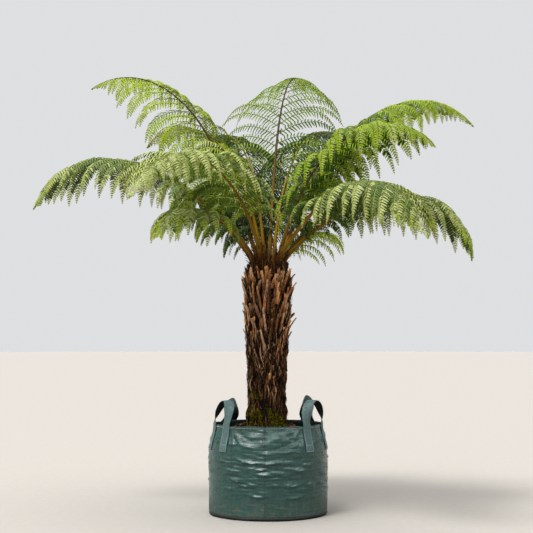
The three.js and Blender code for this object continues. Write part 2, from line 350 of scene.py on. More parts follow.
class Pile:
    """Copies of small shapes, gathered as arrays and joined into one mesh."""

    def __init__(self) -> None:
        """An empty pile."""
        self.points: list[np.ndarray] = []
        self.corners: list[np.ndarray] = []
        self.counts: list[np.ndarray] = []
        self.slots: list[np.ndarray] = []
        self.marks: list[np.ndarray] = []
        self.size = 0

    def add(self, stamp: Stamp, points: np.ndarray, slots: np.ndarray | int = 0,
            marks: np.ndarray | None = None) -> "Pile":
        """Adds copies of one shape.

        Args:
            stamp: the shape.
            points: the copies' vertices, an array for each.
            slots: the material slot of each copy.
            marks: a number for each vertex of each copy, for the finish.

        Returns:
            The pile.
        """
        copies, each = points.shape[:2]
        shift = self.size + each * np.arange(copies)
        self.points.append(points.reshape(-1, 3))
        self.corners.append((stamp.corners + shift[:, None]).ravel())
        self.counts.append(np.tile(stamp.counts, copies))
        self.slots.append(np.repeat(np.broadcast_to(slots, copies), len(stamp.counts)))
        self.marks.append(np.zeros(copies * each) if marks is None else marks.ravel())
        self.size += copies * each
        return self

    def build(self, name: str, finishes: list["Finish"], smooth: bool = True) -> Object:
        """Makes the pile one object.

        Args:
            name: the object's name.
            finishes: its finishes, by slot.
            smooth: whether its faces are shaded smooth.

        Returns:
            The object.
        """
        corners, counts = np.concatenate(self.corners), np.concatenate(self.counts)
        mesh = bpy.data.meshes.new(name)
        mesh.vertices.add(self.size)
        mesh.vertices.foreach_set("co", np.concatenate(self.points).astype(np.float32).ravel())
        mesh.loops.add(len(corners))
        mesh.loops.foreach_set("vertex_index", corners.astype(np.int32))
        mesh.polygons.add(len(counts))
        mesh.polygons.foreach_set("loop_start", (np.cumsum(counts) - counts).astype(np.int32))
        mesh.polygons.foreach_set("use_smooth", np.full(len(counts), smooth))
        mesh.update(calc_edges=True)
        obj = bpy.data.objects.new(name, mesh)
        bpy.context.scene.collection.objects.link(obj)
        Bench.mark(obj, "mark", np.concatenate(self.marks))
        Bench.dress(obj, *finishes)
        mesh.polygons.foreach_set("material_index", np.concatenate(self.slots).astype(np.int32))
        return obj


class Board:
    """The nodes of a material or sky, with a short call for each kind that is used."""

    def __init__(self, owner: bpy.types.Material | bpy.types.World) -> None:
        """Takes up the nodes of a new material or sky."""
        owner.use_nodes = True
        self.owner = owner
        self.tree = owner.node_tree

    def join(self, source: Socket | float, target: Socket) -> None:
        """Links a socket, or sets a number, on an input."""
        if isinstance(source, Socket):
            self.tree.links.new(source, target)
        else:
            target.default_value = source

    def node(self, kind: str, **settings: object) -> bpy.types.Node:
        """A node with these settings."""
        node = self.tree.nodes.new(kind)
        for name, value in settings.items():
            setattr(node, name, value)
        return node

    def place(self) -> Socket:
        """The place on the object, in metres."""
        return self.node("ShaderNodeTexCoord").outputs["Object"]

    def mark(self, name: str = "mark") -> Socket:
        """A number that the mesh holds for each vertex."""
        return self.node("ShaderNodeAttribute", attribute_name=name).outputs["Fac"]

    def split(self, vector: Socket) -> tuple[Socket, Socket, Socket]:
        """A vector's three numbers."""
        node = self.node("ShaderNodeSeparateXYZ")
        self.join(vector, node.inputs[0])
        return tuple(node.outputs)

    def vector(self, x: Socket | float, y: Socket | float, z: Socket | float = 0.0) -> Socket:
        """A vector of three numbers."""
        node = self.node("ShaderNodeCombineXYZ")
        for source, target in zip((x, y, z), node.inputs):
            self.join(source, target)
        return node.outputs[0]

    def sum(self, operation: str, a: Socket, b: Socket | float = 0.0, c: Socket | float = 0.0) -> Socket:
        """One step of arithmetic, held to no range."""
        node = self.node("ShaderNodeMath", operation=operation)
        for source, target in zip((a, b, c), node.inputs):
            self.join(source, target)
        return node.outputs[0]

    def plus(self, a: Socket, b: Socket | float) -> Socket:
        """Two numbers added."""
        return self.sum("ADD", a, b)

    def times(self, a: Socket, b: Socket | float) -> Socket:
        """Two numbers multiplied."""
        return self.sum("MULTIPLY", a, b)

    def blend(self, a: Socket, share: float, b: Socket, other: float) -> Socket:
        """Two numbers added, each times its share."""
        return self.plus(self.times(a, share), self.times(b, other))

    def waves(self, along: Socket, pitch: float) -> Socket:
        """Even waves from -1 to 1 along a length in metres."""
        return self.sum("SINE", self.times(along, 2 * math.pi / pitch))

    def stretched(self, vector: Socket, scale: tuple[float, float, float]) -> Socket:
        """A place scaled by its own number each way."""
        node = self.node("ShaderNodeMapping")
        self.join(vector, node.inputs["Vector"])
        node.inputs["Scale"].default_value = scale
        return node.outputs[0]

    def noise(self, vector: Socket, scale: float, detail: float = 3.0, rough: float = 0.5) -> Socket:
        """Soft noise from 0 to 1."""
        node = self.node("ShaderNodeTexNoise")
        self.join(vector, node.inputs["Vector"])
        for name, value in (("Scale", scale), ("Detail", detail), ("Roughness", rough)):
            node.inputs[name].default_value = value
        return node.outputs["Fac"]

    def range(self, value: Socket, low: float, high: float, to: tuple[float, float] = (0.0, 1.0)) -> Socket:
        """A number moved from one range to another, smoothly and held inside it."""
        node = self.node("ShaderNodeMapRange", interpolation_type="SMOOTHSTEP")
        for source, target in zip((value, low, high, *to), node.inputs):
            self.join(source, target)
        return node.outputs[0]

    def ramp(self, factor: Socket, *stops: tuple[float, Colour]) -> Socket:
        """A colour looked up on a ramp.

        Args:
            factor: where on the ramp.
            *stops: positions and colours.

        Returns:
            The colour.
        """
        node = self.node("ShaderNodeValToRGB")
        self.join(factor, node.inputs[0])
        elements = node.color_ramp.elements
        while len(elements) < len(stops):
            elements.new(0.5)
        for element, (position, colour) in zip(elements, stops):
            element.position = position
            element.color = (*colour, 1)
        return node.outputs[0]

    def mix(self, factor: Socket | float, first: Socket | Colour, second: Socket | Colour) -> Socket:
        """Two colours mixed."""
        node = self.node("ShaderNodeMix", data_type="RGBA")
        for source, target in ((factor, node.inputs[0]), (first, node.inputs[6]), (second, node.inputs[7])):
            self.join((*source, 1) if isinstance(source, tuple) else source, target)
        return node.outputs[2]

    def finish(self, colour: Socket | Colour, roughness: Socket | float, relief: Socket | None = None,
               depth: float = 0.001, strength: float = 1.0, **plain: float) -> bpy.types.Node:
        """Sets the surface's shader.

        Args:
            colour: the base colour.
            roughness: from a mirror's 0 to chalk's 1.
            relief: heights for the bump, if any.
            depth: how deep a height of 1 is.
            strength: how far the bump counts.
            **plain: numbers for the shader's other sockets, spaces written as underscores.

        Returns:
            The shader.
        """
        shader = self.tree.nodes["Principled BSDF"]
        self.join((*colour, 1) if isinstance(colour, tuple) else colour, shader.inputs["Base Color"])
        self.join(roughness, shader.inputs["Roughness"])
        if relief is not None:
            bump = self.node("ShaderNodeBump")
            bump.inputs["Strength"].default_value = strength
            bump.inputs["Distance"].default_value = depth
            self.join(relief, bump.inputs["Height"])
            self.join(bump.outputs[0], shader.inputs["Normal"])
        for name, value in plain.items():
            shader.inputs[name.replace("_", " ")].default_value = value
        return shader


class Finish:
    """What a surface is finished with: a material, made the first time that it is asked for."""

    name: str
    made: ClassVar[dict[str, bpy.types.Material]] = {}

    def title(self) -> str:
        """The material's name."""
        return self.name

    def material(self) -> bpy.types.Material:
        """The finish as a material."""
        title = self.title()
        if title not in Finish.made:
            board = Board(bpy.data.materials.new(title))
            self.paint(board)
            Finish.made[title] = board.owner
        return Finish.made[title]

    def paint(self, board: Board) -> None:
        """Sets out the material's nodes.

        Args:
            board: the material's nodes.
        """
        raise NotImplementedError


@dataclass(frozen=True)
class WovenFinish(Finish):
    """The bag's woven plastic cloth: flat tapes over and under, satin, dusty low down.

    pressed lists the lines where it was folded flat, each darkened along its crease with painted shade:
    degrees round the bag, and how plain each is.
    """

    name: str = "woven_cloth"
    shade: Colour = (0.012, 0.05, 0.042)
    cloth: Colour = (0.024, 0.085, 0.071)
    dust: Colour = (0.13, 0.105, 0.075)
    tape: float = 0.0028
    radius: float = 0.29
    dusty_below: float = 0.13
    scuff: tuple[float, float, float] = (-0.02, -0.297, 0.066)
    scuff_radius: float = 0.022
    # The pressed lines are painted shade: dark lines down the creases.
    pressed: tuple[tuple[float, float], ...] = ((-93.0, 1.0), (-126.0, 0.5), (-45.0, 0.5))
    crease_shade_width: float = 0.0045

    def paint(self, board: Board) -> None:
        """Sets out the weave, the crumples, the dust and the painted shade along the pressed lines.

        Args:
            board: the material's nodes.
        """
        place = board.place()
        x, y, z = board.split(place)
        round_it = board.times(board.sum("ARCTAN2", y, x), self.radius)
        weave = board.times(board.waves(round_it, 2 * self.tape), board.waves(z, 2 * self.tape))
        flat = board.vector(round_it, z)
        upright = board.noise(board.stretched(flat, (260, 9, 1)), 1, 2)
        level = board.noise(board.stretched(flat, (7, 300, 1)), 1, 2)
        crumple = board.noise(place, 28, 4, 0.55)
        ripple = board.noise(board.stretched(flat, (17, 85, 1)), 1)
        tone = board.blend(upright, 0.5, crumple, 0.5)
        colour = board.ramp(tone, (0.3, self.shade), (0.68, self.cloth))
        low = board.range(z, self.dusty_below, 0.0)
        speck = board.noise(place, 60, 5, 0.65)
        reach = board.node("ShaderNodeVectorMath", operation="DISTANCE")
        board.join(place, reach.inputs[0])
        reach.inputs[1].default_value = self.scuff
        spot = board.range(reach.outputs["Value"], self.scuff_radius, 0.008, (0.0, 0.9))
        dust = board.plus(board.sum("MULTIPLY_ADD", low, 0.8, 0.12), spot)
        colour = board.mix(board.times(board.range(speck, 0.42, 0.75), dust), colour, self.dust)
        # Painted shade: a near-black line down each pressed crease, plainer higher up.
        for degrees, much in self.pressed:
            off = board.sum("ABSOLUTE", board.plus(round_it, -math.radians(degrees) * self.radius))
            high = board.range(z, 0.24, 0.36, (0.4 * much, much))
            line = board.times(board.range(off, self.crease_shade_width, 0.001), high)
            colour = board.mix(line, colour, tuple(0.35 * c for c in self.shade))
        relief = board.blend(weave, 0.12, crumple, 1.6)
        relief = board.plus(relief, board.times(board.plus(upright, level), 0.22))
        relief = board.sum("MULTIPLY_ADD", ripple, 2.4, relief)
        rough = board.range(board.plus(speck, low), 0.35, 1.5, (0.25, 0.6))
        board.finish(colour, rough, relief, 0.0012, 0.8, Specular_IOR_Level=0.6)


@dataclass(frozen=True)
class WebbingFinish(Finish):
    """Flat webbing: ribs along it, and a fine slanted twill, with a pale selvedge where it is sewn down."""

    name: str = "webbing"
    valley: Colour = (0.05, 0.095, 0.095)
    crest: Colour = (0.16, 0.24, 0.235)
    rib: float = 0.0024
    band: float = 0.0083
    sewn: float = 0.45
    selvedge: float = 0.0195
    roughness: float = 0.55

    def paint(self, board: Board) -> None:
        """Sets out the ribs by the marks across and along the webbing.

        Args:
            board: the material's nodes.
        """
        across, along = board.mark("across"), board.mark("along")
        ribs = board.waves(across, self.rib)
        slant = board.waves(board.sum("MULTIPLY_ADD", across, 1.6, along), self.rib)
        speck = board.noise(board.vector(across, along), 90, 4, 0.6)
        height = board.blend(ribs, 0.3, slant, 0.18)
        bands = board.waves(across, self.band)
        sewn = board.range(board.split(board.place())[2], self.sewn, self.sewn - 0.01)
        tone = board.plus(board.times(height, 0.5), speck)
        tone = board.plus(tone, board.times(board.sum("MULTIPLY_ADD", bands, 0.15, -0.09), sewn))
        colour = board.ramp(tone, (0.25, self.valley), (0.75, self.crest))
        edge = board.range(board.sum("ABSOLUTE", across), self.selvedge, self.selvedge + 0.002, (0.0, 0.75))
        colour = board.mix(board.times(edge, sewn), colour, self.crest)
        board.finish(colour, self.roughness, height, 0.0006, 0.7)


@dataclass(frozen=True)
class EarthFinish(Finish):
    """Crumbly, streaked or fibrous stuff: two layers of noise, stretched to suit."""

    name: str
    dark: Colour
    middle: Colour
    light: Colour
    stretch: float = 1.0
    scale: float = 60.0
    depth: float = 0.002
    roughness: float = 0.9
    low: float = 0.32
    high: float = 0.68

    def paint(self, board: Board) -> None:
        """Sets out the noise and its three colours.

        Args:
            board: the material's nodes.
        """
        place = board.stretched(board.place(), (1.0, 1.0, self.stretch))
        coarse = board.noise(place, self.scale, 5, 0.62)
        fine = board.noise(place, self.scale * 4, 3, 0.6)
        tone = board.blend(coarse, 0.72, fine, 0.28)
        middle = (self.low + self.high) / 2
        colour = board.ramp(tone, (self.low, self.dark), (middle, self.middle), (self.high, self.light))
        rough = board.range(fine, 0.2, 0.8, (self.roughness, self.roughness - 0.18))
        board.finish(colour, rough, tone, self.depth, 0.9, Specular_IOR_Level=0.3)


@dataclass(frozen=True)
class StubFinish(Finish):
    """A stub's streaks, from the dark of its grooves, partly its own dark fibre and partly painted shade, to
    the pale of its ridges and cut end.
    """

    name: str
    groove: Colour
    body: Colour
    ridge: Colour

    def paint(self, board: Board) -> None:
        """Sets out the streaks, shifted by each stub's own mark.

        Args:
            board: the material's nodes.
        """
        streaks = board.noise(board.stretched(board.place(), (1, 1, 0.08)), 260, 5, 0.65)
        tone = board.blend(streaks, 0.75, board.mark(), 0.36)
        # The groove colour is near black: partly the stub's dark fibre, partly painted shade in its grooves
        # and between the stubs.
        colour = board.ramp(tone, (0.38, self.groove), (0.54, self.body), (0.74, self.ridge))
        board.finish(colour, 0.75, streaks, 0.002, 0.9, Specular_IOR_Level=0.4)


@dataclass(frozen=True)
class FibreFinish(Finish):
    """The stem's dark fibre, with red-brown ridges, painted shade in near black among the stubs, and green
    where the moss is.
    """

    name: str = "trunk_fibre"
    ropes: tuple[Colour, Colour, Colour] = ((0.006, 0.003, 0.002), (0.045, 0.02, 0.011), (0.14, 0.07, 0.036))
    mosses: tuple[Colour, Colour] = ((0.02, 0.022, 0.004), (0.15, 0.16, 0.012))
    black: Colour = (0.007, 0.003, 0.0015)
    stub_shade_from: float = 0.66
    stub_shade_at: float = 0.9

    def paint(self, board: Board) -> None:
        """Sets out the ropes, darkened to near black by height as painted shade among the stubs, and the moss
        by its mark.

        Args:
            board: the material's nodes.
        """
        place = board.place()
        # Painted shade: up among the stubs the fibre is mixed towards near black, for the shade between them.
        high = board.range(board.split(place)[2], self.stub_shade_from, self.stub_shade_at, (0.0, 0.85))
        ropes = board.noise(board.stretched(place, (1, 1, 0.16)), 95, 6, 0.68)
        crumbs = board.noise(place, 140, 4, 0.6)
        colour = board.ramp(ropes, *zip((0.38, 0.5, 0.63), self.ropes))
        green = board.ramp(crumbs, *zip((0.35, 0.65), self.mosses))
        share = board.times(board.mark("moss"), board.range(crumbs, 0.3, 0.55))
        colour = board.mix(share, board.mix(high, colour, self.black), green)
        relief = board.plus(ropes, board.times(crumbs, 0.4))
        board.finish(colour, 0.92, relief, 0.004, 0.9, Specular_IOR_Level=0.25)


@dataclass(frozen=True)
class StalkFinish(Finish):
    """A frond's stalk: golden or green flanks, dark edges, and a brown scaly foot."""

    name: str
    flank: Colour
    edge: Colour
    tip: Colour
    foot: Colour = (0.06, 0.019, 0.005)
    foot_height: float = 0.06
    turn: float = 0.42

    def paint(self, board: Board) -> None:
        """Sets out the colours by the marks along the stalk and round it.

        Args:
            board: the material's nodes.
        """
        place = board.place()
        along, round_it = board.mark(), board.mark("edge")
        streak = board.noise(board.stretched(place, (1, 1, 0.12)), 300, 4, 0.6)
        mottle = board.noise(place, 40, 4, 0.6)
        wavering = board.sum("MULTIPLY_ADD", streak, 0.5, round_it)
        body = board.mix(board.range(along, 0.25, 0.9), self.flank, self.tip)
        colour = board.mix(board.range(wavering, self.turn, self.turn + 0.35), body, self.edge)
        reach = board.sum("MULTIPLY_ADD", mottle, -0.16, along)
        foot = board.range(reach, self.foot_height, self.foot_height - 0.15)
        relief = board.plus(streak, board.times(mottle, 0.5))
        rough = board.range(streak, 0.3, 0.7, (0.42, 0.6))
        board.finish(board.mix(foot, colour, self.foot), rough, relief, 0.0008, 0.6, Specular_IOR_Level=0.16)


@dataclass(frozen=True)
class PlainFinish(Finish):
    """A plain colour with a little fine tooth, for thread and piping."""

    name: str
    colour: Colour
    roughness: float = 0.6

    def paint(self, board: Board) -> None:
        """Sets out the colour and its tooth.

        Args:
            board: the material's nodes.
        """
        speck = board.noise(board.place(), 500, 3, 0.6)
        dark = tuple(0.6 * c for c in self.colour)
        board.finish(board.ramp(speck, (0.3, dark), (0.65, self.colour)), self.roughness, speck, 0.0003, 0.5)


@dataclass(frozen=True)
class FloorFinish(Finish):
    """Matte pale paint, with the faintest mottle."""

    name: str = "pale_floor"
    colour: Colour = (0.37, 0.345, 0.315)

    def paint(self, board: Board) -> None:
        """Sets out the mottle.

        Args:
            board: the material's nodes.
        """
        speck = board.noise(board.place(), 30, 4, 0.6)
        shade = tuple(0.93 * c for c in self.colour)
        board.finish(board.ramp(speck, (0.3, shade), (0.7, self.colour)), 0.85)


class LeafTone(Finish, Enum):
    """The greens that the sprays are dealt: the surface's, the light's through it, and its share."""

    SHADE = ((0.022, 0.042, 0.008), (0.06, 0.12, 0.008), 0.1)
    DEEP = ((0.042, 0.078, 0.013), (0.12, 0.22, 0.012), 0.14)
    GREEN = ((0.085, 0.142, 0.02), (0.22, 0.36, 0.02), 0.18)
    OLIVE = ((0.14, 0.178, 0.04), (0.28, 0.38, 0.03), 0.16)
    FRESH = ((0.17, 0.245, 0.022), (0.4, 0.56, 0.02), 0.26)
    BRIGHT = ((0.26, 0.345, 0.028), (0.56, 0.7, 0.03), 0.34)
    PALE = ((0.34, 0.375, 0.14), (0.48, 0.54, 0.1), 0.14)
    YELLOW = ((0.45, 0.47, 0.04), (0.8, 0.82, 0.04), 0.42)

    def title(self) -> str:
        """The material's name."""
        return f"leaf_{self.name.lower()}"

    def paint(self, board: Board) -> None:
        """Sets out a satin surface, with light coming through.

        Args:
            board: the material's nodes.
        """
        surface, through, share = self.value
        shader = board.finish(surface, 0.45, Specular_IOR_Level=0.32)
        glow = board.node("ShaderNodeBsdfTranslucent")
        glow.inputs["Color"].default_value = (*through, 1)
        mixed = board.node("ShaderNodeMixShader")
        mixed.inputs[0].default_value = share
        board.join(shader.outputs[0], mixed.inputs[1])
        board.join(glow.outputs[0], mixed.inputs[2])
        board.join(mixed.outputs[0], board.tree.nodes["Material Output"].inputs["Surface"])


def hand_in(obj: Object, slot: str, *nodes: str) -> Object:
    """Lets a finished piece ride on the plant's body, and reports it.

    Args:
        obj: the piece.
        slot: the record's material slot for the piece; not used.
        *nodes: the CAD nodes that it stands for.

    Returns:
        The piece.
    """
    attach(obj, BODY)
    if nodes:
        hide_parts(*nodes)
    LOG.info("%s: %d faces", obj.name, len(obj.data.polygons))
    return obj


@dataclass
class Folds:
    """Folds in the bag's wall, as arrays: where each is, how big, and how it runs."""

    angle: np.ndarray
    height: np.ndarray
    length: np.ndarray
    width: np.ndarray
    depth: np.ndarray
    slope: np.ndarray
    sag: np.ndarray

    def relief(self, angle: np.ndarray, height: np.ndarray, radius: float) -> np.ndarray:
        """How far the folds push the wall out.

        Args:
            angle: of each place, round the bag.
            height: of each place.
            radius: of the bag.

        Returns:
            Metres outwards for each place.
        """
        total = np.zeros(len(angle))
        for a, h, length, width, depth, slope, sag in zip(
            self.angle, self.height, self.length, self.width, self.depth, self.slope, self.sag
        ):
            along = apart(angle, a) * radius
            up = height - h - sag * (along / length) ** 2
            run = along * math.cos(slope) + up * math.sin(slope)
            off = up * math.cos(slope) - along * math.sin(slope)
            near = (abs(run) < 3 * length) & (abs(off) < 4 * width)
            steep = np.where(off[near] > 0, 1.5 * width, 0.6 * width)
            total[near] += depth * (bell(run[near], length) * bell(off[near], steep))
        return total


@dataclass(frozen=True)
class FoldKind:
    """A kind of short sagging fold: how many there are, and their middling sizes and slant."""

    count: int
    length: float
    width: float
    depth: float
    slant: float
    sag: float = 0.006

    def drawn(self, draw: np.random.Generator, angle: np.ndarray, height: np.ndarray,
              size: np.ndarray) -> Folds:
        """Folds of this kind.

        Args:
            draw: gives each its own width, depth, slant and sag.
            angle: of each, round the bag.
            height: of each.
            size: of each, as a share of the middling one.

        Returns:
            The folds.
        """
        return Folds(
            angle, height, self.length * size, self.width * draw.uniform(0.7, 1.3, self.count),
            self.depth * draw.uniform(0.3, 1.0, self.count) * np.sqrt(size),
            draw.normal(0, self.slant, self.count), self.sag * draw.uniform(0.2, 1.2, self.count),
        )


@dataclass(frozen=True)
class Loop:
    """How one handle stands.

    middle and spread are degrees round the bag, to its middle and from there to each foot. rise is
    its height over the rim, lean how far its top leans in over the bag, tilt how far its top's
    face looks in, skew how far its top lies to one side, bulge how far its legs bow apart, and
    fan how far each leg's face turns away from the other.
    """

    middle: float
    spread: float
    rise: float
    lean: float
    tilt: float = 0.0
    skew: float = 0.0
    bulge: float = 0.0
    fan: tuple[float, float] = (1.0, 1.0)


@dataclass
class GrowBag:
    """The woven bag: a lofted shell that sags over its load, a hem, a base cord and seams.

    drapes and cushions are the folds that stand out in front: degrees round the bag, height, length,
    width (cushions only) and slope. pressed and crease are the lines where it was folded flat.
    """

    height: float = 0.450
    radius: float = 0.2975
    rim_radius: float = 0.2735
    foot_radius: float = 0.286
    corner: float = 0.022
    shoulder: float = 0.330
    hem_height: float = 0.014
    hem_step: float = 0.0012
    wall: float = 0.0018
    around: int = 300
    rings: int = 150
    # The cord is thicker than the real one: its black band is partly painted shade along the bag's foot.
    cord_radius: float = 0.0085
    patch_low: float = 0.323
    patch_half: float = 0.025
    loops: tuple[Loop, ...] = (
        Loop(40.5, 6, 0.111, 0.050, 60, -0.03, 0.012),
        Loop(138.5, 7, 0.097, 0.055, 60, 0.012, 0.012),
        Loop(208.5, 13.5, 0.120, 0.024, 0, 0.028, 0, (1.0, 0.35)),
        Loop(331, 17.5, 0.122, 0.0, 0, -0.022, 0, (0.6, 1.0)),
    )
    drapes: tuple[tuple[float, float, float, float], ...] = (
        (-107.7, 0.277, 0.075, -0.13), (-74.4, 0.272, 0.036, 0.0), (-100.6, 0.244, 0.036, -0.03),
        (-84.8, 0.255, 0.026, -0.1), (-60.9, 0.237, 0.044, 0.03), (-92.2, 0.218, 0.048, 0.0),
        (-75.0, 0.216, 0.032, 0.05), (-120.8, 0.188, 0.046, -0.12), (-105.7, 0.171, 0.034, -0.2),
        (-66.1, 0.164, 0.056, 0.08), (-100.1, 0.112, 0.034, -0.1), (-62.0, 0.107, 0.044, 0.15),
        (-91.3, 0.317, 0.038, 0.0), (-74.0, 0.324, 0.045, 0.08), (-42.8, 0.306, 0.034, 0.05),
        (-144.4, 0.278, 0.05, -0.1), (-128.0, 0.235, 0.045, -0.1), (-48.0, 0.262, 0.04, 0.1),
    )
    drape_width: float = 0.0062
    cushions: tuple[tuple[float, float, float, float, float], ...] = (
        (-76.0, 0.388, 0.060, 0.021, 0.12), (-103.0, 0.397, 0.045, 0.010, 0.0),
        (-122.5, 0.398, 0.028, 0.008, -0.8), (-62.0, 0.392, 0.030, 0.007, 1.05),
        (-44.0, 0.405, 0.026, 0.008, -1.0), (-143.0, 0.393, 0.030, 0.008, 0.9),
        (-80.0, 0.360, 0.050, 0.009, 0.25), (-110.0, 0.352, 0.048, 0.009, -0.15),
        (-95.0, 0.428, 0.040, 0.006, 0.0), (-68.0, 0.420, 0.030, 0.006, 0.5),
        (-128.0, 0.360, 0.030, 0.008, 0.1), (-38.0, 0.365, 0.040, 0.009, 0.2),
    )
    loose: FoldKind = FoldKind(170, 0.034, 0.0056, 0.0036, 0.07)
    rear: FoldKind = FoldKind(95, 0.036, 0.006, 0.0046, 0.08)
    puckers: int = 6
    dents: int = 34
    belly: float = 0.0012
    crinkle_pitch: float = 0.0195
    crinkle_depth: float = 0.0034
    pressed: tuple[float, ...] = (-126.0, -45.0, 12.0, 96.0, 168.0)
    pressed_depth: float = 0.0011
    pressed_width: float = 0.0022
    crease: float = -93.0
    crease_depth: float = 0.0068
    crease_width: float = 0.0072
    seed: int = 7
    folds: list[Folds] = field(default_factory=list)

    def feet(self) -> np.ndarray:
        """Where the handles' eight feet are, in radians round the bag."""
        return np.radians([loop.middle + side * loop.spread for loop in self.loops for side in (-1, 1)])

    def profile(self, height: np.ndarray) -> np.ndarray:
        """The plain wall's radius at a height."""
        low = np.sin(np.clip(height / self.corner, 0, 1) * math.pi / 2)
        share = (height - self.shoulder) / (self.height - self.hem_height - self.shoulder)
        share = (np.clip(share, 0, 1) + ease(share)) / 2
        base = self.foot_radius + (self.radius - self.foot_radius) * low
        return base + (self.rim_radius - self.radius) * share

    def make_folds(self) -> None:
        """Draws the folds: those in front, loose ones, puckers at the handles' feet, and dents."""
        draw = np.random.default_rng(self.seed)
        degrees, height, length, slope = np.array(self.drapes).T
        width = np.full(len(height), self.drape_width)
        depth = 0.0046 + 0.02 * length
        drapes = Folds(np.radians(degrees), height, length, width, depth, slope, 0.1 * length)
        degrees, height, length, width, slope = np.array(self.cushions).T
        depth = 0.0015 + 0.38 * width
        cushions = Folds(np.radians(degrees), height, length, width, depth, slope, 0.05 * length)
        count = self.loose.count
        ahead = draw.normal(-math.pi / 2, 0.55, count // 2)
        angle = np.concatenate([ahead, draw.uniform(-math.pi, math.pi, count - len(ahead))])
        height = np.clip(draw.normal(0.225, 0.055, count), 0.06, 0.325)
        loose = self.loose.drawn(draw, angle, height, draw.uniform(0.6, 1.5, count))
        feet = np.repeat(self.feet(), self.puckers)
        side = np.tile([-1, 1], len(feet) // 2)
        count = len(feet)
        puckers = Folds(
            feet + side * draw.uniform(0.12, 0.3, count), draw.uniform(0.345, 0.425, count),
            draw.uniform(0.016, 0.036, count), draw.uniform(0.004, 0.008, count),
            draw.uniform(0.002, 0.0055, count), side * draw.uniform(-1.3, -0.4, count), np.zeros(count),
        )
        count = self.dents
        dents = Folds(
            draw.uniform(-math.pi, math.pi, count), draw.uniform(0.35, 0.42, count),
            draw.uniform(0.03, 0.06, count), draw.uniform(0.007, 0.013, count),
            draw.uniform(-0.0045, 0.005, count), draw.normal(0, 0.4, count), np.zeros(count),
        )
        count = self.rear.count
        size = draw.uniform(0.6, 1.6, count)
        angle = draw.uniform(-0.35, math.pi + 0.35, count)
        rear = self.rear.drawn(draw, angle, np.clip(draw.normal(0.235, 0.06, count), 0.06, 0.33), size)
        self.folds = [drapes, cushions, loose, puckers, dents, rear]

    def proud(self, angle: np.ndarray, height: np.ndarray) -> np.ndarray:
        """How far the wall stands out from its plain profile.

        Args:
            angle: of each place, round the bag.
            height: of each place.

        Returns:
            Metres outwards for each place.
        """
        belly = np.sin(np.clip(height / self.shoulder, 0, 1) * math.pi)
        out = self.belly * belly * (1 + np.sin(3 * angle + 0.6) + 0.7 * np.sin(5 * angle + 2.0))
        for group in self.folds:
            out += group.relief(angle, height, self.radius)
        places = drum(angle, height, 0.3)
        out += 0.0007 * grain(places, (0.03, 0.03, 0.018), 5) + 0.0004 * grain(places, 0.011, 9)
        swing = 0.010 * grain(places, (0.08, 0.08, 0.06), 21) + 0.004 * grain(places, 0.035, 22)
        fall = np.mod((height + swing) / self.crinkle_pitch, 1.0)
        wave = np.where(fall < 0.32, ease(fall / 0.32), 1 - ease((fall - 0.32) / 0.68))
        zone = ease((height - 0.07) / 0.08) * (1 - 0.8 * ease((height - 0.29) / 0.05))
        much = np.clip(0.3 + 0.9 * grain(places, (0.055, 0.055, 0.017), 23), 0, 1)
        out += self.crinkle_depth * much * zone * (wave - 0.3)
        for degrees in self.pressed:
            off = apart(angle, math.radians(degrees)) * self.radius
            out += self.pressed_depth * bell(off, self.pressed_width)
        off = apart(angle, math.radians(self.crease)) * self.radius
        upper = ease((height - 0.31) / 0.06)
        out += upper * (0.0026 * bell(off, 0.03) - self.crease_depth * bell(off, self.crease_width))
        for foot in self.feet():
            off = abs(apart(angle, foot)) * self.radius
            near = ease((self.patch_half + 0.016 - off) / 0.014)
            out *= 1 - near * ease((height - self.patch_low + 0.02) / 0.016)
        ends = ease(height / 0.03) * (1 - 0.75 * ease((height - self.height + 0.03) / 0.02))
        return out * ends

    def hemmed(self, height: np.ndarray) -> np.ndarray:
        """The plain wall's radius at a height, with the hem's thickness near the rim."""
        return self.profile(height) + self.hem_step * ease((height - 0.41) / 0.012)

    def wall_radius(self, angle: np.ndarray, height: np.ndarray) -> np.ndarray:
        """The finished wall's radius at each place."""
        return self.profile(height) + self.proud(angle, height)

    def shell(self) -> Object:
        """Models the wall and its flat underside, as one sheet.

        Returns:
            The wall.
        """
        obj = Bench.sleeve("grow_bag_wall", self.radius, 0.0, self.height, self.around, self.rings)
        points = Bench.places(obj)
        angle = np.arctan2(points[:, 1], points[:, 0])
        radius = self.wall_radius(angle, points[:, 2])
        points[:, 0], points[:, 1] = radius * np.cos(angle), radius * np.sin(angle)
        wave = 0.0016 * np.sin(4 * angle + 1.1) + 0.0012 * np.sin(9 * angle)
        points[:, 2] += np.minimum(wave, 0.0) * ease((points[:, 2] - 0.39) / 0.06)
        Bench.move(obj, points)
        with Bench.editing(obj) as mesh:
            Bench.pick(obj, mesh.edges, lambda e: e.is_boundary and max(v.co.z for v in e.verts) < 0.01)
            bpy.ops.mesh.edge_face_add()
            bpy.ops.mesh.inset(thickness=0.02)
            bpy.ops.mesh.inset(thickness=0.06)
            bpy.ops.mesh.select_all(action="SELECT")
            bpy.ops.mesh.normals_make_consistent(inside=False)
        return obj

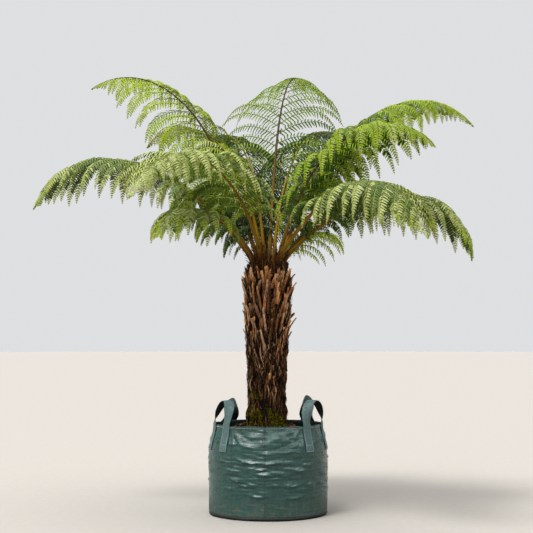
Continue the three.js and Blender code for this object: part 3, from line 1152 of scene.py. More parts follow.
    def build(self) -> list[Object]:
        """Builds the bag's pieces.

        Returns:
            The wall, the hem and the base cord.
        """
        self.make_folds()
        shell = self.shell()
        with Bench.editing(shell) as mesh:
            hem_foot = self.height - self.hem_height
            Bench.pick(shell, mesh.faces, lambda f: f.calc_center_median().z > hem_foot)
            bpy.ops.mesh.duplicate()
            bpy.ops.mesh.separate(type="SELECTED")
        hem = next(o for o in bpy.context.selected_objects if o is not shell)
        hem.name = hem.data.name = "grow_bag_hem"
        Bench.modify(shell, "SOLIDIFY", thickness=self.wall, offset=-1.0)
        Bench.modify(hem, "SOLIDIFY", thickness=self.wall + self.hem_step, offset=-0.4, use_even_offset=True)
        Bench.modify(hem, "BEVEL", width=0.001, segments=2, limit_method="ANGLE")
        for obj in (shell, hem):
            Bench.smooth(obj, 60)
            Bench.dress(obj, WovenFinish())
        return [hand_in(shell, "bag", "grow_bag"), hand_in(hem, "bag"), hand_in(self.base_cord_and_shade(), "bag")]

    def base_cord_and_shade(self) -> Object:
        """The black cord sewn round the foot, pressed flat where it meets the ground, and drawn thick so that
        its black also stands in for painted shade along the bag's foot.

        Returns:
            The cord.
        """
        Bench.clear()
        bpy.ops.mesh.primitive_torus_add(
            major_radius=self.foot_radius + 0.003, minor_radius=self.cord_radius,
            major_segments=self.around, minor_segments=12, location=(0, 0, self.cord_radius),
        )
        obj = Bench.named("grow_bag_base_cord")
        points = Bench.places(obj)
        angle = np.arctan2(points[:, 1], points[:, 0])
        lifted = 0.0011 * (1 + np.sin(7 * angle) + 0.6 * np.sin(17 * angle + 1))
        points[:, 2] = np.maximum(points[:, 2] + lifted, 0.0006)
        points[:, :2] *= (1 + 0.0022 * np.sin(5 * angle + 2) + 0.0012 * np.sin(13 * angle))[:, None]
        Bench.move(obj, points)
        Bench.smooth(obj, 60)
        Bench.dress(obj, PlainFinish("base_cord_and_shade", (0.006, 0.008, 0.008)))
        return obj


@dataclass
class Handles:
    """The four webbing loops, each from a sewn patch up over a loop and down to another."""

    bag: GrowBag
    width: float = 0.050
    thickness: float = 0.0024
    fullness: float = 0.8
    late: float = 1.5
    twist: float = 0.5
    seat: float = 0.0006
    loop_stations: int = 44
    patch_stations: int = 14
    across: int = 6
    stitch: tuple[float, float, float] = (0.0025, 0.0014, 0.0007)
    stitch_pitch: float = 0.0052
    stitch_inset: float = 0.004
    bar_height: float = 0.03

    def sewn(self, loop: Loop, side: int) -> tuple[np.ndarray, np.ndarray]:
        """One foot of a handle, in the order that the webbing runs.

        Args:
            loop: how the handle stands.
            side: -1 for the foot that it starts at, 1 for the other.

        Returns:
            The places and the faces' directions, one row each.
        """
        bag = self.bag
        heights = np.linspace(bag.patch_low, bag.height, self.patch_stations)
        outward = spokes(np.radians(loop.middle + side * loop.spread))
        reach = bag.hemmed(heights) + self.seat + self.thickness / 2
        rows = outward * reach[:, None] + UP * heights[:, None]
        return rows[:: -side], np.tile(outward, (len(rows), 1))

    def route(self, loop: Loop) -> tuple[np.ndarray, np.ndarray]:
        """One handle's line and the way that its outer face looks there.

        Args:
            loop: how it stands.

        Returns:
            The places and the faces' directions, one row each.
        """
        bag = self.bag
        spread, tilt = math.radians(loop.spread), math.radians(loop.tilt)
        outward, sideways = spokes(np.radians(loop.middle)), rounds(np.radians(loop.middle))
        crown = UP * math.cos(tilt) - outward * math.sin(tilt)
        mouth = float(bag.hemmed(np.array(bag.height))) + self.seat + self.thickness / 2
        turn = np.linspace(math.pi, 0, self.loop_stations + 2)[1:-1, None]
        arch = np.sin(turn) ** self.fullness
        climb = UP * loop.rise * arch - outward * loop.lean * arch**self.late
        aside = (mouth * math.sin(spread) + loop.bulge * np.sin(turn)) * np.cos(turn) + loop.skew * arch
        arc = outward * mouth * math.cos(spread) + UP * bag.height + sideways * aside + climb
        over = np.sin(turn) ** self.twist
        fan = np.where(turn > math.pi / 2, *loop.fan)
        aloft = sideways * fan * np.cos(turn) + crown * np.sin(turn)
        looks = unit(outward * (1 - over) + aloft * over)
        (first, first_looks), (last, last_looks) = self.sewn(loop, -1), self.sewn(loop, 1)
        return np.concatenate([first, arc, last]), np.concatenate([first_looks, looks, last_looks])

    def strap(self, index: int, loop: Loop, finishes: list[Finish]) -> Object:
        """Models one handle: a flat grid laid along its route, thickened and rounded.

        Args:
            index: the handle's number.
            loop: how it stands.
            finishes: the outer face's, and the inner face's, a near-black copy painted as shade.

        Returns:
            The handle.
        """
        places, faces = self.route(loop)
        along = unit(np.gradient(places, axis=0))
        across = unit(np.cross(along, faces))
        normal = np.cross(across, along)
        last = len(places) - 1
        Bench.clear()
        bpy.ops.mesh.primitive_grid_add(x_subdivisions=self.across, y_subdivisions=last, size=1)
        obj = Bench.named(f"handle_{index}_webbing")
        points = Bench.places(obj)
        row = np.rint((points[:, 1] + 0.5) * last).astype(int)
        aside = points[:, 0] * self.width
        length = np.concatenate([[0], np.cumsum(np.linalg.norm(np.diff(places, axis=0), axis=1))])
        cupped = -0.0016 * (2 * points[:, 0]) ** 2 * ease((places[row, 2] - self.bag.height) / 0.02)
        Bench.move(obj, places[row] + across[row] * aside[:, None] + normal[row] * cupped[:, None])
        Bench.mark(obj, "across", aside)
        Bench.mark(obj, "along", length[row])
        Bench.dress(obj, *finishes)
        Bench.modify(obj, "SOLIDIFY", thickness=self.thickness, offset=0.0, material_offset=1,
                     material_offset_rim=0)
        Bench.modify(obj, "BEVEL", width=0.0007, segments=2, limit_method="ANGLE")
        Bench.smooth(obj, 50)
        return obj

    def seam(self, proud: float, *corners: tuple[float, float]) -> np.ndarray:
        """A row of stitches on the bag from corner to corner.

        Args:
            proud: how far they stand out from the wall.
            *corners: angles round the bag and heights.

        Returns:
            A row for each stitch: its angle, height and proud, and its way round and up.
        """
        rows = []
        for (a0, z0), (a1, z1) in zip(corners, corners[1:]):
            reach = math.hypot((a1 - a0) * self.bag.radius, z1 - z0)
            count = max(2, round(reach / self.stitch_pitch))
            share = ((np.arange(count) + 0.5) / count)[:, None]
            here = np.array([a0, z0]) + np.array([a1 - a0, z1 - z0]) * share
            rest = [proud, (a1 - a0) * self.bag.radius, z1 - z0]
            rows.append(np.column_stack([here, np.tile(rest, (count, 1))]))
        return np.concatenate(rows)

    def stitches(self) -> Object:
        """The thread: beads round each patch's edge, and one row round the hem.

        Returns:
            All of the stitches, as one object.
        """
        Bench.clear()
        bpy.ops.mesh.primitive_ico_sphere_add(subdivisions=1, radius=1)
        bead = Stamp.of(Bench.named("stitch"))
        bag = self.bag
        half = (bag.patch_half - self.stitch_inset) / bag.radius
        low, high = bag.patch_low + self.stitch_inset, bag.height - self.stitch_inset
        bar, proud = low + self.bar_height, self.seat + self.thickness + 0.0001
        rows: list[np.ndarray] = []
        for foot in bag.feet():
            left, right = foot - half, foot + half
            rows.append(self.seam(proud, (left, high), (left, low), (right, low), (right, high)))
            rows.append(self.seam(proud, (left, bar), (right, bar)))
        hem = bag.height - bag.hem_height + 0.004
        rows.append(self.seam(0.0009, (-math.pi, hem), (math.pi, hem)))
        angle, height, out, da, dz = np.concatenate(rows).T
        radius = np.where(out > 0.002, bag.hemmed(height), bag.wall_radius(angle, height)) + out
        spoke = spokes(angle)
        run = unit(rounds(angle) * da[:, None] + UP * dz[:, None])
        long, broad, thick = self.stitch
        place = spoke * radius[:, None] + UP * height[:, None]
        points = bead.laid(place, run * long, np.cross(spoke, run) * broad, spoke * thick)
        return Pile().add(bead, points).build("handle_stitching", [PlainFinish("thread", (0.5, 0.58, 0.54))])

    def build(self) -> list[Object]:
        """Builds the handles and their stitching.

        Returns:
            The four handles and the thread.
        """
        # Painted shade: the inner face is a near-black copy of the webbing, for the shade under the loops.
        under = WebbingFinish("webbing_underside_shade", (0.006, 0.012, 0.011), (0.02, 0.034, 0.032))
        faces = [WebbingFinish(), under]
        made = [hand_in(self.strap(index, loop, faces), "webbing", f"handle_{index}")
                for index, loop in enumerate(self.bag.loops, 1)]
        return [*made, hand_in(self.stitches(), "webbing")]


@dataclass
class PottingSoil:
    """The potting mix in the bag, with bark chips scattered on it.

    heaps gives each pile of chips by the trunk: its middle's x and y, its height, and its chips.
    """

    top: float = 0.4175
    foot: float = 0.345
    radius: float = 0.2685
    foot_radius: float = 0.284
    around: int = 96
    rings: int = 26
    mound: float = 0.018
    chips: int = 430
    chip: tuple[float, float, float] = (0.024, 0.012, 0.006)
    heaps: tuple[tuple[float, float, float, int], ...] = (
        (-0.128, -0.015, 0.024, 34), (0.112, -0.01, 0.014, 20),
    )
    trunk_middle: float = -0.007
    seed: int = 21
    earth: EarthFinish = EarthFinish("potting_mix", (0.006, 0.004, 0.003), (0.028, 0.016, 0.010),
                                     (0.07, 0.04, 0.022), scale=70, depth=0.004)
    barks: tuple[EarthFinish, ...] = (
        EarthFinish("chip_red", (0.05, 0.018, 0.008), (0.16, 0.06, 0.025), (0.3, 0.13, 0.06), scale=90),
        EarthFinish("chip_dark", (0.012, 0.007, 0.005), (0.04, 0.022, 0.014), (0.09, 0.05, 0.03), scale=90),
        EarthFinish("chip_tan", (0.11, 0.06, 0.03), (0.28, 0.16, 0.08), (0.42, 0.27, 0.15), scale=90),
    )

    def level(self, points: np.ndarray) -> np.ndarray:
        """The soil's height at each place: uneven, and heaped a little round the trunk."""
        flat = points * np.array([1.0, 1.0, 0.0])
        heap = self.mound * bell(np.hypot(points[:, 0] - self.trunk_middle, points[:, 1]), 0.15)
        low = 0.006 * ease((np.hypot(points[:, 0], points[:, 1]) - 0.2) / 0.07)
        return self.top - 0.004 + heap - low + 0.0035 * grain(flat, 0.045, 3) + 0.002 * grain(flat, 0.014, 4)

    def bed(self) -> Object:
        """Models the soil: a disc of rings drawn in to its middle, over a short tapering side.

        Returns:
            The soil.
        """
        Bench.clear()
        bpy.ops.mesh.primitive_circle_add(vertices=self.around, radius=self.foot_radius,
                                          location=(0, 0, self.foot), fill_type="NGON")
        obj = Bench.named("potting_mix")
        with Bench.editing(obj) as mesh:
            Bench.pick(obj, mesh.faces, lambda f: True)
            shrink = self.radius / self.foot_radius
            bpy.ops.mesh.extrude_region_move(TRANSFORM_OT_translate={"value": (0, 0, self.top - self.foot)})
            bpy.ops.transform.resize(value=(shrink, shrink, 1))
            for _ in range(self.rings):
                bpy.ops.mesh.inset(thickness=self.radius / (self.rings + 1.5))
            bpy.ops.mesh.select_all(action="SELECT")
            bpy.ops.mesh.normals_make_consistent(inside=False)
        points = Bench.places(obj)
        upper = points[:, 2] > self.top - 0.001
        points[upper, 2] = self.level(points[upper])
        Bench.move(obj, points)
        Bench.smooth(obj, 40)
        Bench.dress(obj, self.earth)
        return obj

    def mulch(self) -> Object:
        """Scatters the chips: split, flattened pieces of bark of three colours.

        Returns:
            The chips, as one object.
        """
        Bench.clear()
        bpy.ops.mesh.primitive_cube_add(size=1)
        obj = Bench.named("chip")
        Bench.modify(obj, "BEVEL", width=0.16, segments=1)
        chip = Stamp.of(obj)
        chip.points *= 1 + 0.22 * grain(chip.points, 0.7, 2)[:, None]
        chip.points[:, 2] += 0.25 * chip.points[:, 0] ** 2
        draw = np.random.default_rng(self.seed)
        count = self.chips
        near = draw.random(count) < 0.55
        close = draw.uniform(0.105, 0.17, count)
        reach = np.where(near, close, 0.262 * np.sqrt(draw.uniform(0.15, 1, count)))
        places = spokes(draw.uniform(-math.pi, math.pi, count)) * reach[:, None]
        places[near, 0] += self.trunk_middle
        places[:, 2] = self.level(places) + draw.uniform(0.0, 0.006, count)
        first = 0
        for x, y, tall, number in self.heaps:
            heap = slice(first, first + number)
            places[heap, :2] = draw.normal(0, 1, (number, 2)) * (0.011, 0.018) + (x, y)
            places[heap, 2] = self.level(places[heap]) + tall * draw.uniform(0, 1, number) ** 0.7
            first += number
        turn = draw.uniform(0, 2 * math.pi, count)
        x = unit(spokes(turn) + UP * np.sin(draw.normal(0, 0.35, count))[:, None])
        z = unit(np.cross(x, np.cross(UP + 0.35 * draw.normal(size=(count, 3)), x)))
        y = np.cross(z, x)
        size = draw.uniform(0.55, 1.35, (count, 1))
        slots = draw.choice(3, count, p=[0.5, 0.3, 0.2])
        long, broad, thick = self.chip
        points = chip.laid(places, x * long * size, y * broad * size, z * thick * size)
        return Pile().add(chip, points, slots).build("bark_chips", self.barks, smooth=False)

    def build(self) -> list[Object]:
        """Builds the soil and its mulch."""
        return [hand_in(self.bed(), "soil", "soil"), hand_in(self.mulch(), "soil")]


@dataclass(frozen=True)
class StrandKind:
    """A kind of strand on the stem: how many there are, and the sides and rings of its tube.

    The lowest starts low over the stem's foot, and the others up to spread above it, crowded
    towards it. stray is how far they wander round the stem in radians, proud how far they stand
    out, and odds the share that has each finish. A pair is a least and a most.
    """

    name: str
    count: int
    sides: int
    rings: int
    low: float
    spread: float
    crowd: float
    length: tuple[float, float]
    radius: tuple[float, float]
    stray: float
    proud: tuple[float, float]
    odds: tuple[float, ...]
    seed: int
    finishes: tuple[EarthFinish, ...]


@dataclass
class Trunk:
    """The stem: a ropy core, cut frond stubs above, matted roots and fibre, and moss below.

    A pair for the stubs is its low end's number, and what is added to it towards the crown. knobs
    gives each curled bud's place round the crown in degrees, and its height.
    """

    foot: float = 0.4183
    top: float = 1.2500
    foot_offset: float = -0.007
    top_offset: float = -0.001
    heights: tuple[float, ...] = (0.4183, 0.45, 0.56, 0.68, 0.79, 0.90, 1.03, 1.13, 1.20, 1.25)
    radii: tuple[float, ...] = (0.106, 0.101, 0.095, 0.095, 0.101, 0.107, 0.113, 0.117, 0.112, 0.104)
    around: int = 150
    rings: int = 170
    stubs: int = 275
    stub_foot: tuple[float, float] = (0.63, 0.58)
    stub_length: tuple[float, float] = (0.045, 0.085)
    stub_width: tuple[float, float] = (0.0047, 0.0019)
    stub_lean: tuple[float, float] = (2, 5)
    stub_rings: int = 8
    stray_share: float = 0.15
    stray_lean: float = 15
    spiral: float = 137.508
    stub_finishes: tuple[StubFinish, ...] = (
        StubFinish("stub_tan", (0.022, 0.008, 0.003), (0.27, 0.105, 0.032), (0.78, 0.43, 0.19)),
        StubFinish("stub_grey", (0.02, 0.01, 0.006), (0.21, 0.11, 0.058), (0.64, 0.42, 0.26)),
    )
    knobs: tuple[tuple[float, float], ...] = (
        (178, 0.048), (4, 0.056), (62, 0.05), (118, 0.054), (236, 0.04), (322, 0.042),
    )
    knob_radius: float = 0.0105
    knob_finish: EarthFinish = EarthFinish("knob_scales", (0.012, 0.004, 0.002), (0.07, 0.026, 0.009),
                                           (0.24, 0.11, 0.035), 0.4, 120)
    shoots: int = 30
    shoot_radius: float = 0.0125
    shoot_finish: EarthFinish = EarthFinish("shoot_skin", (0.012, 0.004, 0.002), (0.085, 0.03, 0.007),
                                            (0.22, 0.115, 0.02), 0.12, 130)
    strand_kinds: tuple[StrandKind, ...] = (
        StrandKind("root_mat", 900, 5, 9, -0.02, 0.6, 1.15, (0.04, 0.15), (0.0018, 0.0046), 0.15,
                   (-0.012, 0.003), (0.52, 0.38, 0.1), 1, (
            EarthFinish("root_dark", (0.003, 0.0015, 0.001), (0.014, 0.007, 0.003), (0.05, 0.025, 0.012),
                        0.15, 160),
            EarthFinish("root_brown", (0.012, 0.005, 0.002), (0.13, 0.058, 0.022), (0.36, 0.19, 0.085),
                        0.2, 110),
            EarthFinish("root_pale", (0.1, 0.05, 0.026), (0.38, 0.23, 0.125), (0.66, 0.46, 0.29), 0.15, 160),
        )),
        StrandKind("trunk_hairs", 2300, 3, 6, 0.0, 0.78, 1.0, (0.02, 0.085), (0.0006, 0.0014), 0.22,
                   (-0.008, 0.006), (0.5, 0.4, 0.1), 3, (
            EarthFinish("hair_dark", (0.004, 0.002, 0.001), (0.015, 0.007, 0.003), (0.04, 0.02, 0.01),
                        scale=90),
            EarthFinish("hair_red", (0.03, 0.01, 0.004), (0.13, 0.052, 0.02), (0.3, 0.14, 0.058), scale=90),
            EarthFinish("hair_pale", (0.2, 0.12, 0.07), (0.36, 0.24, 0.15), (0.55, 0.4, 0.26), scale=90),
        )),
    )
    tufts: int = 5200
    tuft: tuple[float, float, float] = (0.0042, 0.003, 0.0085)
    tuft_finishes: tuple[EarthFinish, ...] = (
        EarthFinish("moss_dark", (0.014, 0.014, 0.002), (0.06, 0.06, 0.006), (0.14, 0.135, 0.012), scale=80),
        EarthFinish("moss_green", (0.08, 0.078, 0.005), (0.26, 0.25, 0.012), (0.42, 0.4, 0.02), scale=80),
        EarthFinish("moss_bright", (0.28, 0.26, 0.01), (0.5, 0.46, 0.018), (0.7, 0.64, 0.035), scale=80),
    )
    seed: int = 33

    def middle(self, height: np.ndarray) -> np.ndarray:
        """The stem's axis at each height."""
        share = (height - self.foot) / (self.top - self.foot)
        x = self.foot_offset + (self.top_offset - self.foot_offset) * share
        return np.stack([x, np.zeros_like(x), height], axis=-1)

    def girth(self, height: np.ndarray) -> np.ndarray:
        """The stem's mean radius at each height."""
        return np.interp(height, self.heights, self.radii)

    def on(self, angle: np.ndarray, height: np.ndarray, proud: np.ndarray | float = 0.0) -> np.ndarray:
        """Places on the stem, standing out from its mean radius by proud."""
        flat = drum(angle, height, 0.1).reshape(-1, 3)
        lumps = grain(flat, (0.03, 0.03, 0.055), 4) + 0.5 * grain(flat, (0.014, 0.014, 0.03), 11)
        radius = self.girth(height) + proud + 0.0055 * lumps.reshape(np.shape(height)) - 0.002
        return self.middle(height) + spokes(angle) * radius[..., None]

    def mossy(self, angle: np.ndarray, height: np.ndarray) -> np.ndarray:
        """How mossy the stem is at each place, from 0 to 1: mostly low, on the left and in front."""
        side = 0.5 + 0.5 * np.cos(angle - math.radians(235))
        low = 1 - ease((height - 0.44) / (0.06 + 0.17 * side))
        patch = grain(drum(angle, height, 0.1), (0.028, 0.028, 0.042), 8)
        return np.clip(low * (0.35 + 0.65 * side) * 1.6 + 1.1 * patch - 0.6, 0, 1)

    def core(self) -> Object:
        """Models the core: a tube of many rings with upright, ropy relief, closed at both ends.

        Returns:
            The core.
        """
        obj = Bench.sleeve("trunk_core", 0.1, self.foot, self.top, self.around, self.rings, capped=True)
        points = Bench.places(obj)
        angle, height = np.arctan2(points[:, 1], points[:, 0]), points[:, 2].copy()
        flat = drum(angle, height, 0.1)
        bent = flat + 0.012 * grain(flat, 0.07, 1)[:, None]
        ropes = 1 - abs(grain(bent, (0.016, 0.016, 0.11), 2)) * 2
        fine = grain(bent, (0.006, 0.006, 0.03), 6)
        proud = -0.013 + 0.0085 * ropes + 0.003 * fine - 0.026 * ease((height - 1.175) / 0.075)
        swell = 0.010 * bell(height - 0.505, 0.035) * ease(np.cos(angle + 0.15))
        Bench.move(obj, self.on(angle, height, proud + swell))
        Bench.mark(obj, "moss", self.mossy(angle, height))
        Bench.smooth(obj, 80)
        Bench.dress(obj, FibreFinish())
        return obj

    def stub_stamp(self) -> Stamp:
        """Models one cut frond base: a flat strip with angular, split edges and a torn, sunk end.

        Returns:
            The stub.
        """
        obj = Bench.sleeve("stub", 1.0, 0.0, 1.0, 9, 7, capped=True)
        with Bench.editing(obj) as mesh:
            Bench.pick(obj, mesh.faces, lambda f: f.calc_center_median().z > 0.99)
            bpy.ops.mesh.inset(thickness=0.3)
            bpy.ops.transform.translate(value=(0, 0, -0.05))
        points = Bench.places(obj)
        angle = np.arctan2(points[:, 1], points[:, 0])
        points[:, :2] *= (1 + 0.2 * np.cos(3 * angle + 0.9))[:, None]
        points[:, 1] *= 0.6
        top = points[:, 2] > 0.93
        points[top, 2] += 0.05 * np.sin(2.3 * angle[top]) + 0.03 * points[top, 0]
        Bench.move(obj, points)
        return Stamp.of(obj)

    def stub_rows(self) -> Object:
        """Sets the stubs round the stem in rising spirals, longer and freer to the top.

        Returns:
            The stubs, as one object.
        """
        stamp, last = self.stub_stamp(), self.stub_rings - 1
        draw = np.random.default_rng(self.seed)
        count = self.stubs

        def ranged(pair: tuple[float, float], share: np.ndarray) -> np.ndarray:
            """A pair's low number, and its share of what is added."""
            return pair[0] + pair[1] * share

        climb = ((np.arange(count) + 0.5) / count) ** 0.82
        foot = ranged(self.stub_foot, climb) + draw.normal(0, 0.008, count)
        angle = np.arange(count) * math.radians(self.spiral) + draw.normal(0, 0.1, count)
        high = ease((foot - 0.66) / 0.28)
        length = ranged(self.stub_length, high) * draw.uniform(0.6, 1.35, count)
        length = np.minimum(length, self.top + draw.uniform(-0.08, -0.012, count) - foot)
        width = ranged(self.stub_width, high) * draw.uniform(0.7, 1.3, count)
        stray = (draw.random(count) < self.stray_share) * high
        lean = np.radians(ranged(self.stub_lean, high)) * draw.uniform(0.0, 1.3, count)
        lean = (lean + np.radians(self.stray_lean) * stray)[:, None, None]
        t = np.linspace(0, 1, self.stub_rings)[None, :, None]
        spoke, turn = spokes(angle)[:, None, :], rounds(angle)[:, None, :]
        sway = draw.normal(0, 0.11, (count, 1, 1)) + draw.normal(0, 0.06, (count, 1, 1)) * t
        run = (length * (1 - 0.25 * stray))[:, None, None] * t
        out = run * np.sin(lean) * (0.4 + 0.8 * t) + 0.013 * t
        place = self.on(angle, foot, -0.012)[:, None, :] + spoke * out
        place = place + turn * run * sway + UP * run * np.cos(lean)
        line = Line.through(place, np.broadcast_to(spoke, place.shape))
        tip = draw.uniform(0.1, 0.5, (count, 1))
        taper = 1.2 - tip * t[..., 0] ** 1.5 + 0.12 * np.sin(9 * t[..., 0] + draw.uniform(0, 6, (count, 1)))
        tall = stamp.points[:, 2]
        ring = np.clip((tall * last).round().astype(int), 0, last)
        points = stamp.along(line, width[:, None] * taper, ring)
        points += line.along[:, ring] * (length[:, None] * (tall - ring / last))[..., None]
        rough = grain(points.reshape(-1, 3), (0.006, 0.006, 0.025), 7).reshape(count, -1, 1)
        points += 0.0016 * rough * line.side[:, ring]
        shade = draw.uniform(0.0, 0.86, (count, 1)) + 0.08 * (1 - high[:, None])
        # Each stub is darker to its foot, partly its darker scales and partly painted shade where the stubs
        # crowd, and paler at its cut end.
        tone = shade + 0.2 * (tall - 0.5) + 0.25 * (tall > 0.93)
        pile = Pile().add(stamp, points, (draw.random(count) < 0.28).astype(int), tone)
        return pile.build("cut_frond_stubs", self.stub_finishes, smooth=False)

    def tubes(self, stamp: Stamp, angle: np.ndarray, height: np.ndarray, reach: np.ndarray,
              thick: np.ndarray) -> np.ndarray:
        """Copies of a tube that rise beside the stem's axis.

        Args:
            stamp: the tube.
            angle: of each copy, round the stem.
            height: of each copy's stations.
            reach: how far they are from the axis.
            thick: the tube's radius there.

        Returns:
            The copies' vertices, an array for each.
        """
        spoke = spokes(angle)[:, None, :]
        place = self.middle(height) + spoke * reach[..., None]
        return stamp.along(Line.through(place, np.broadcast_to(spoke, place.shape)), thick)

    def curled_buds(self) -> Object:
        """Dark curled buds at the edge of the crown, one to each side and others behind and in front.

        Returns:
            The buds, as one object.
        """
        stamp = self.strand_stamp(10, 9)
        t = np.linspace(0, 1, 10)[None, :]
        degrees, tall = np.array(self.knobs).T
        height = self.top - 0.045 + tall[:, None] * np.sin(1.9 * t)
        out = -0.022 + 0.020 * t + 0.006 * np.sin(math.pi * t)
        thick = self.knob_radius * (1 - 0.25 * t) * np.ones_like(height)
        points = self.tubes(stamp, np.radians(degrees), height, self.girth(height) + out, thick)
        points += 0.0018 * grain(points.reshape(-1, 3), 0.006, 5).reshape(len(tall), -1, 1)
        return Pile().add(stamp, points).build("curled_buds", [self.knob_finish])

    def stalk_bases(self) -> Object:
        """Dark red stalk bases that stand close round the stem's top, between the fronds' feet.

        Returns:
            The stalk bases, as one object.
        """
        stamp = self.strand_stamp(8, 9)
        draw = np.random.default_rng(self.seed + 7)
        count = self.shoots
        t = np.linspace(0, 1, 10)[None, :]
        angle = (np.arange(count) + 0.5) * 2 * math.pi / count + draw.normal(0, 0.07, count)
        height = self.top - 0.1 + draw.uniform(0.095, 0.15, (count, 1)) * t
        reach = 0.090 - draw.uniform(0.006, 0.014, (count, 1)) * np.sin(2.6 * t)
        thick = self.shoot_radius * draw.uniform(0.75, 1.1, (count, 1)) * (1 - 0.3 * t)
        points = self.tubes(stamp, angle, height, reach, thick)
        return Pile().add(stamp, points).build("stalk_bases", [self.shoot_finish])

    def strand_stamp(self, sides: int, rings: int) -> Stamp:
        """Models one strand: a thin closed tube that tapers at both ends."""
        obj = Bench.sleeve("strand", 1.0, 0.0, 1.0, sides, rings, capped=True)
        points = Bench.places(obj)
        points[:, :2] *= (0.35 + 0.65 * np.sin(math.pi * np.clip(points[:, 2], 0.04, 0.96)))[:, None]
        Bench.move(obj, points)
        return Stamp.of(obj)

    def strands(self, kind: StrandKind) -> Object:
        """Lays strands of one kind on the stem, wandering as they rise.

        Args:
            kind: says how many, how big and where.

        Returns:
            The strands, as one object.
        """
        draw = np.random.default_rng(self.seed + kind.seed)
        count, levels = kind.count, kind.rings + 1
        foot = self.foot + kind.low + kind.spread * draw.random(count) ** kind.crowd
        length, radius = draw.uniform(*kind.length, count), draw.uniform(*kind.radius, count)
        draw = np.random.default_rng(self.seed + kind.seed + 1)
        t = np.linspace(0, 1, levels)[None, :]
        angle = draw.uniform(-math.pi, math.pi, (count, 1)) + kind.stray * draw.normal(0, 1, (count, 1)) * t
        swing = np.sin(draw.uniform(3, 9, (count, 1)) * t + draw.uniform(0, 6, (count, 1)))
        angle = angle + 0.35 * kind.stray * swing
        height = np.clip(foot[:, None] + length[:, None] * t, self.foot + 0.002, self.top + 0.03)
        height = np.maximum.accumulate(height + 1e-5 * np.arange(levels), axis=1)
        out = draw.uniform(*kind.proud, (count, 1)) + 0.004 * np.sin(draw.uniform(2, 7, (count, 1)) * t)
        place = self.on(angle, height, out - 0.006 * (1 - np.sin(math.pi * t)))
        line = Line.through(place, spokes(angle))
        stamp = self.strand_stamp(kind.sides, kind.rings)
        points = stamp.along(line, np.broadcast_to(radius[:, None], (count, levels)))
        pile = Pile().add(stamp, points, draw.choice(len(kind.odds), count, p=kind.odds))
        return pile.build(kind.name, kind.finishes)

    def moss(self) -> Object:
        """Tufts of moss on the lower stem: little folded leaves, thick where it is mossy.

        Returns:
            The tufts, as one object.
        """
        Bench.clear()
        bpy.ops.mesh.primitive_cone_add(vertices=3, radius1=0.5, depth=1, location=(0, 0, 0.5))
        stamp = Stamp.of(Bench.named("moss_leaf"))
        draw = np.random.default_rng(self.seed + 5)
        angle = draw.uniform(-math.pi, math.pi, self.tufts * 6)
        height = draw.uniform(self.foot, 0.70, self.tufts * 6)
        kept = draw.random(len(angle)) < self.mossy(angle, height) * 0.9
        angle, height = angle[kept][: self.tufts], height[kept][: self.tufts]
        count = len(angle)
        places = self.on(angle, height, draw.uniform(-0.009, 0.0, count))
        z = unit(spokes(angle) + 0.55 * draw.normal(size=(count, 3)) + 0.3 * UP)
        x = unit(np.cross(z, draw.normal(size=(count, 3))))
        size = draw.uniform(0.6, 1.4, (count, 1))
        broad, thick, tall = self.tuft
        points = stamp.laid(places, x * broad * size, np.cross(z, x) * thick * size, z * tall * size)
        pile = Pile().add(stamp, points, draw.choice(3, count, p=[0.35, 0.4, 0.25]))
        return pile.build("moss", self.tuft_finishes, smooth=False)

    def build(self) -> list[Object]:
        """Builds the stem's pieces."""
        core = self.core()
        pieces = [self.stub_rows(), self.curled_buds(), self.stalk_bases()]
        pieces += [self.strands(kind) for kind in self.strand_kinds]
        pieces.append(self.moss())
        return [hand_in(core, "bark", "trunk"), *(hand_in(piece, "bark") for piece in pieces)]


class Stalk(Enum):
    """The two kinds of stalk: its finish, and that of the side leaflets' ribs."""

    GOLDEN = (
        StalkFinish("stalk_golden", (0.21, 0.122, 0.008), (0.04, 0.011, 0.003), (0.17, 0.17, 0.03)),
        EarthFinish("rib_golden", (0.2, 0.21, 0.035), (0.4, 0.42, 0.09), (0.55, 0.57, 0.16), scale=90),
    )
    DARK = (
        StalkFinish("stalk_dark", (0.15, 0.09, 0.008), (0.03, 0.009, 0.003), (0.045, 0.028, 0.01), turn=0.46),
        EarthFinish("rib_dark", (0.03, 0.022, 0.006), (0.1, 0.085, 0.02), (0.2, 0.19, 0.045), scale=90),
    )


class Ring(Enum):
    """Where the fronds leave the stem's top: three rings, the youngest inside."""

    OUTER = 0.087
    MIDDLE = 0.063
    INNER = 0.036


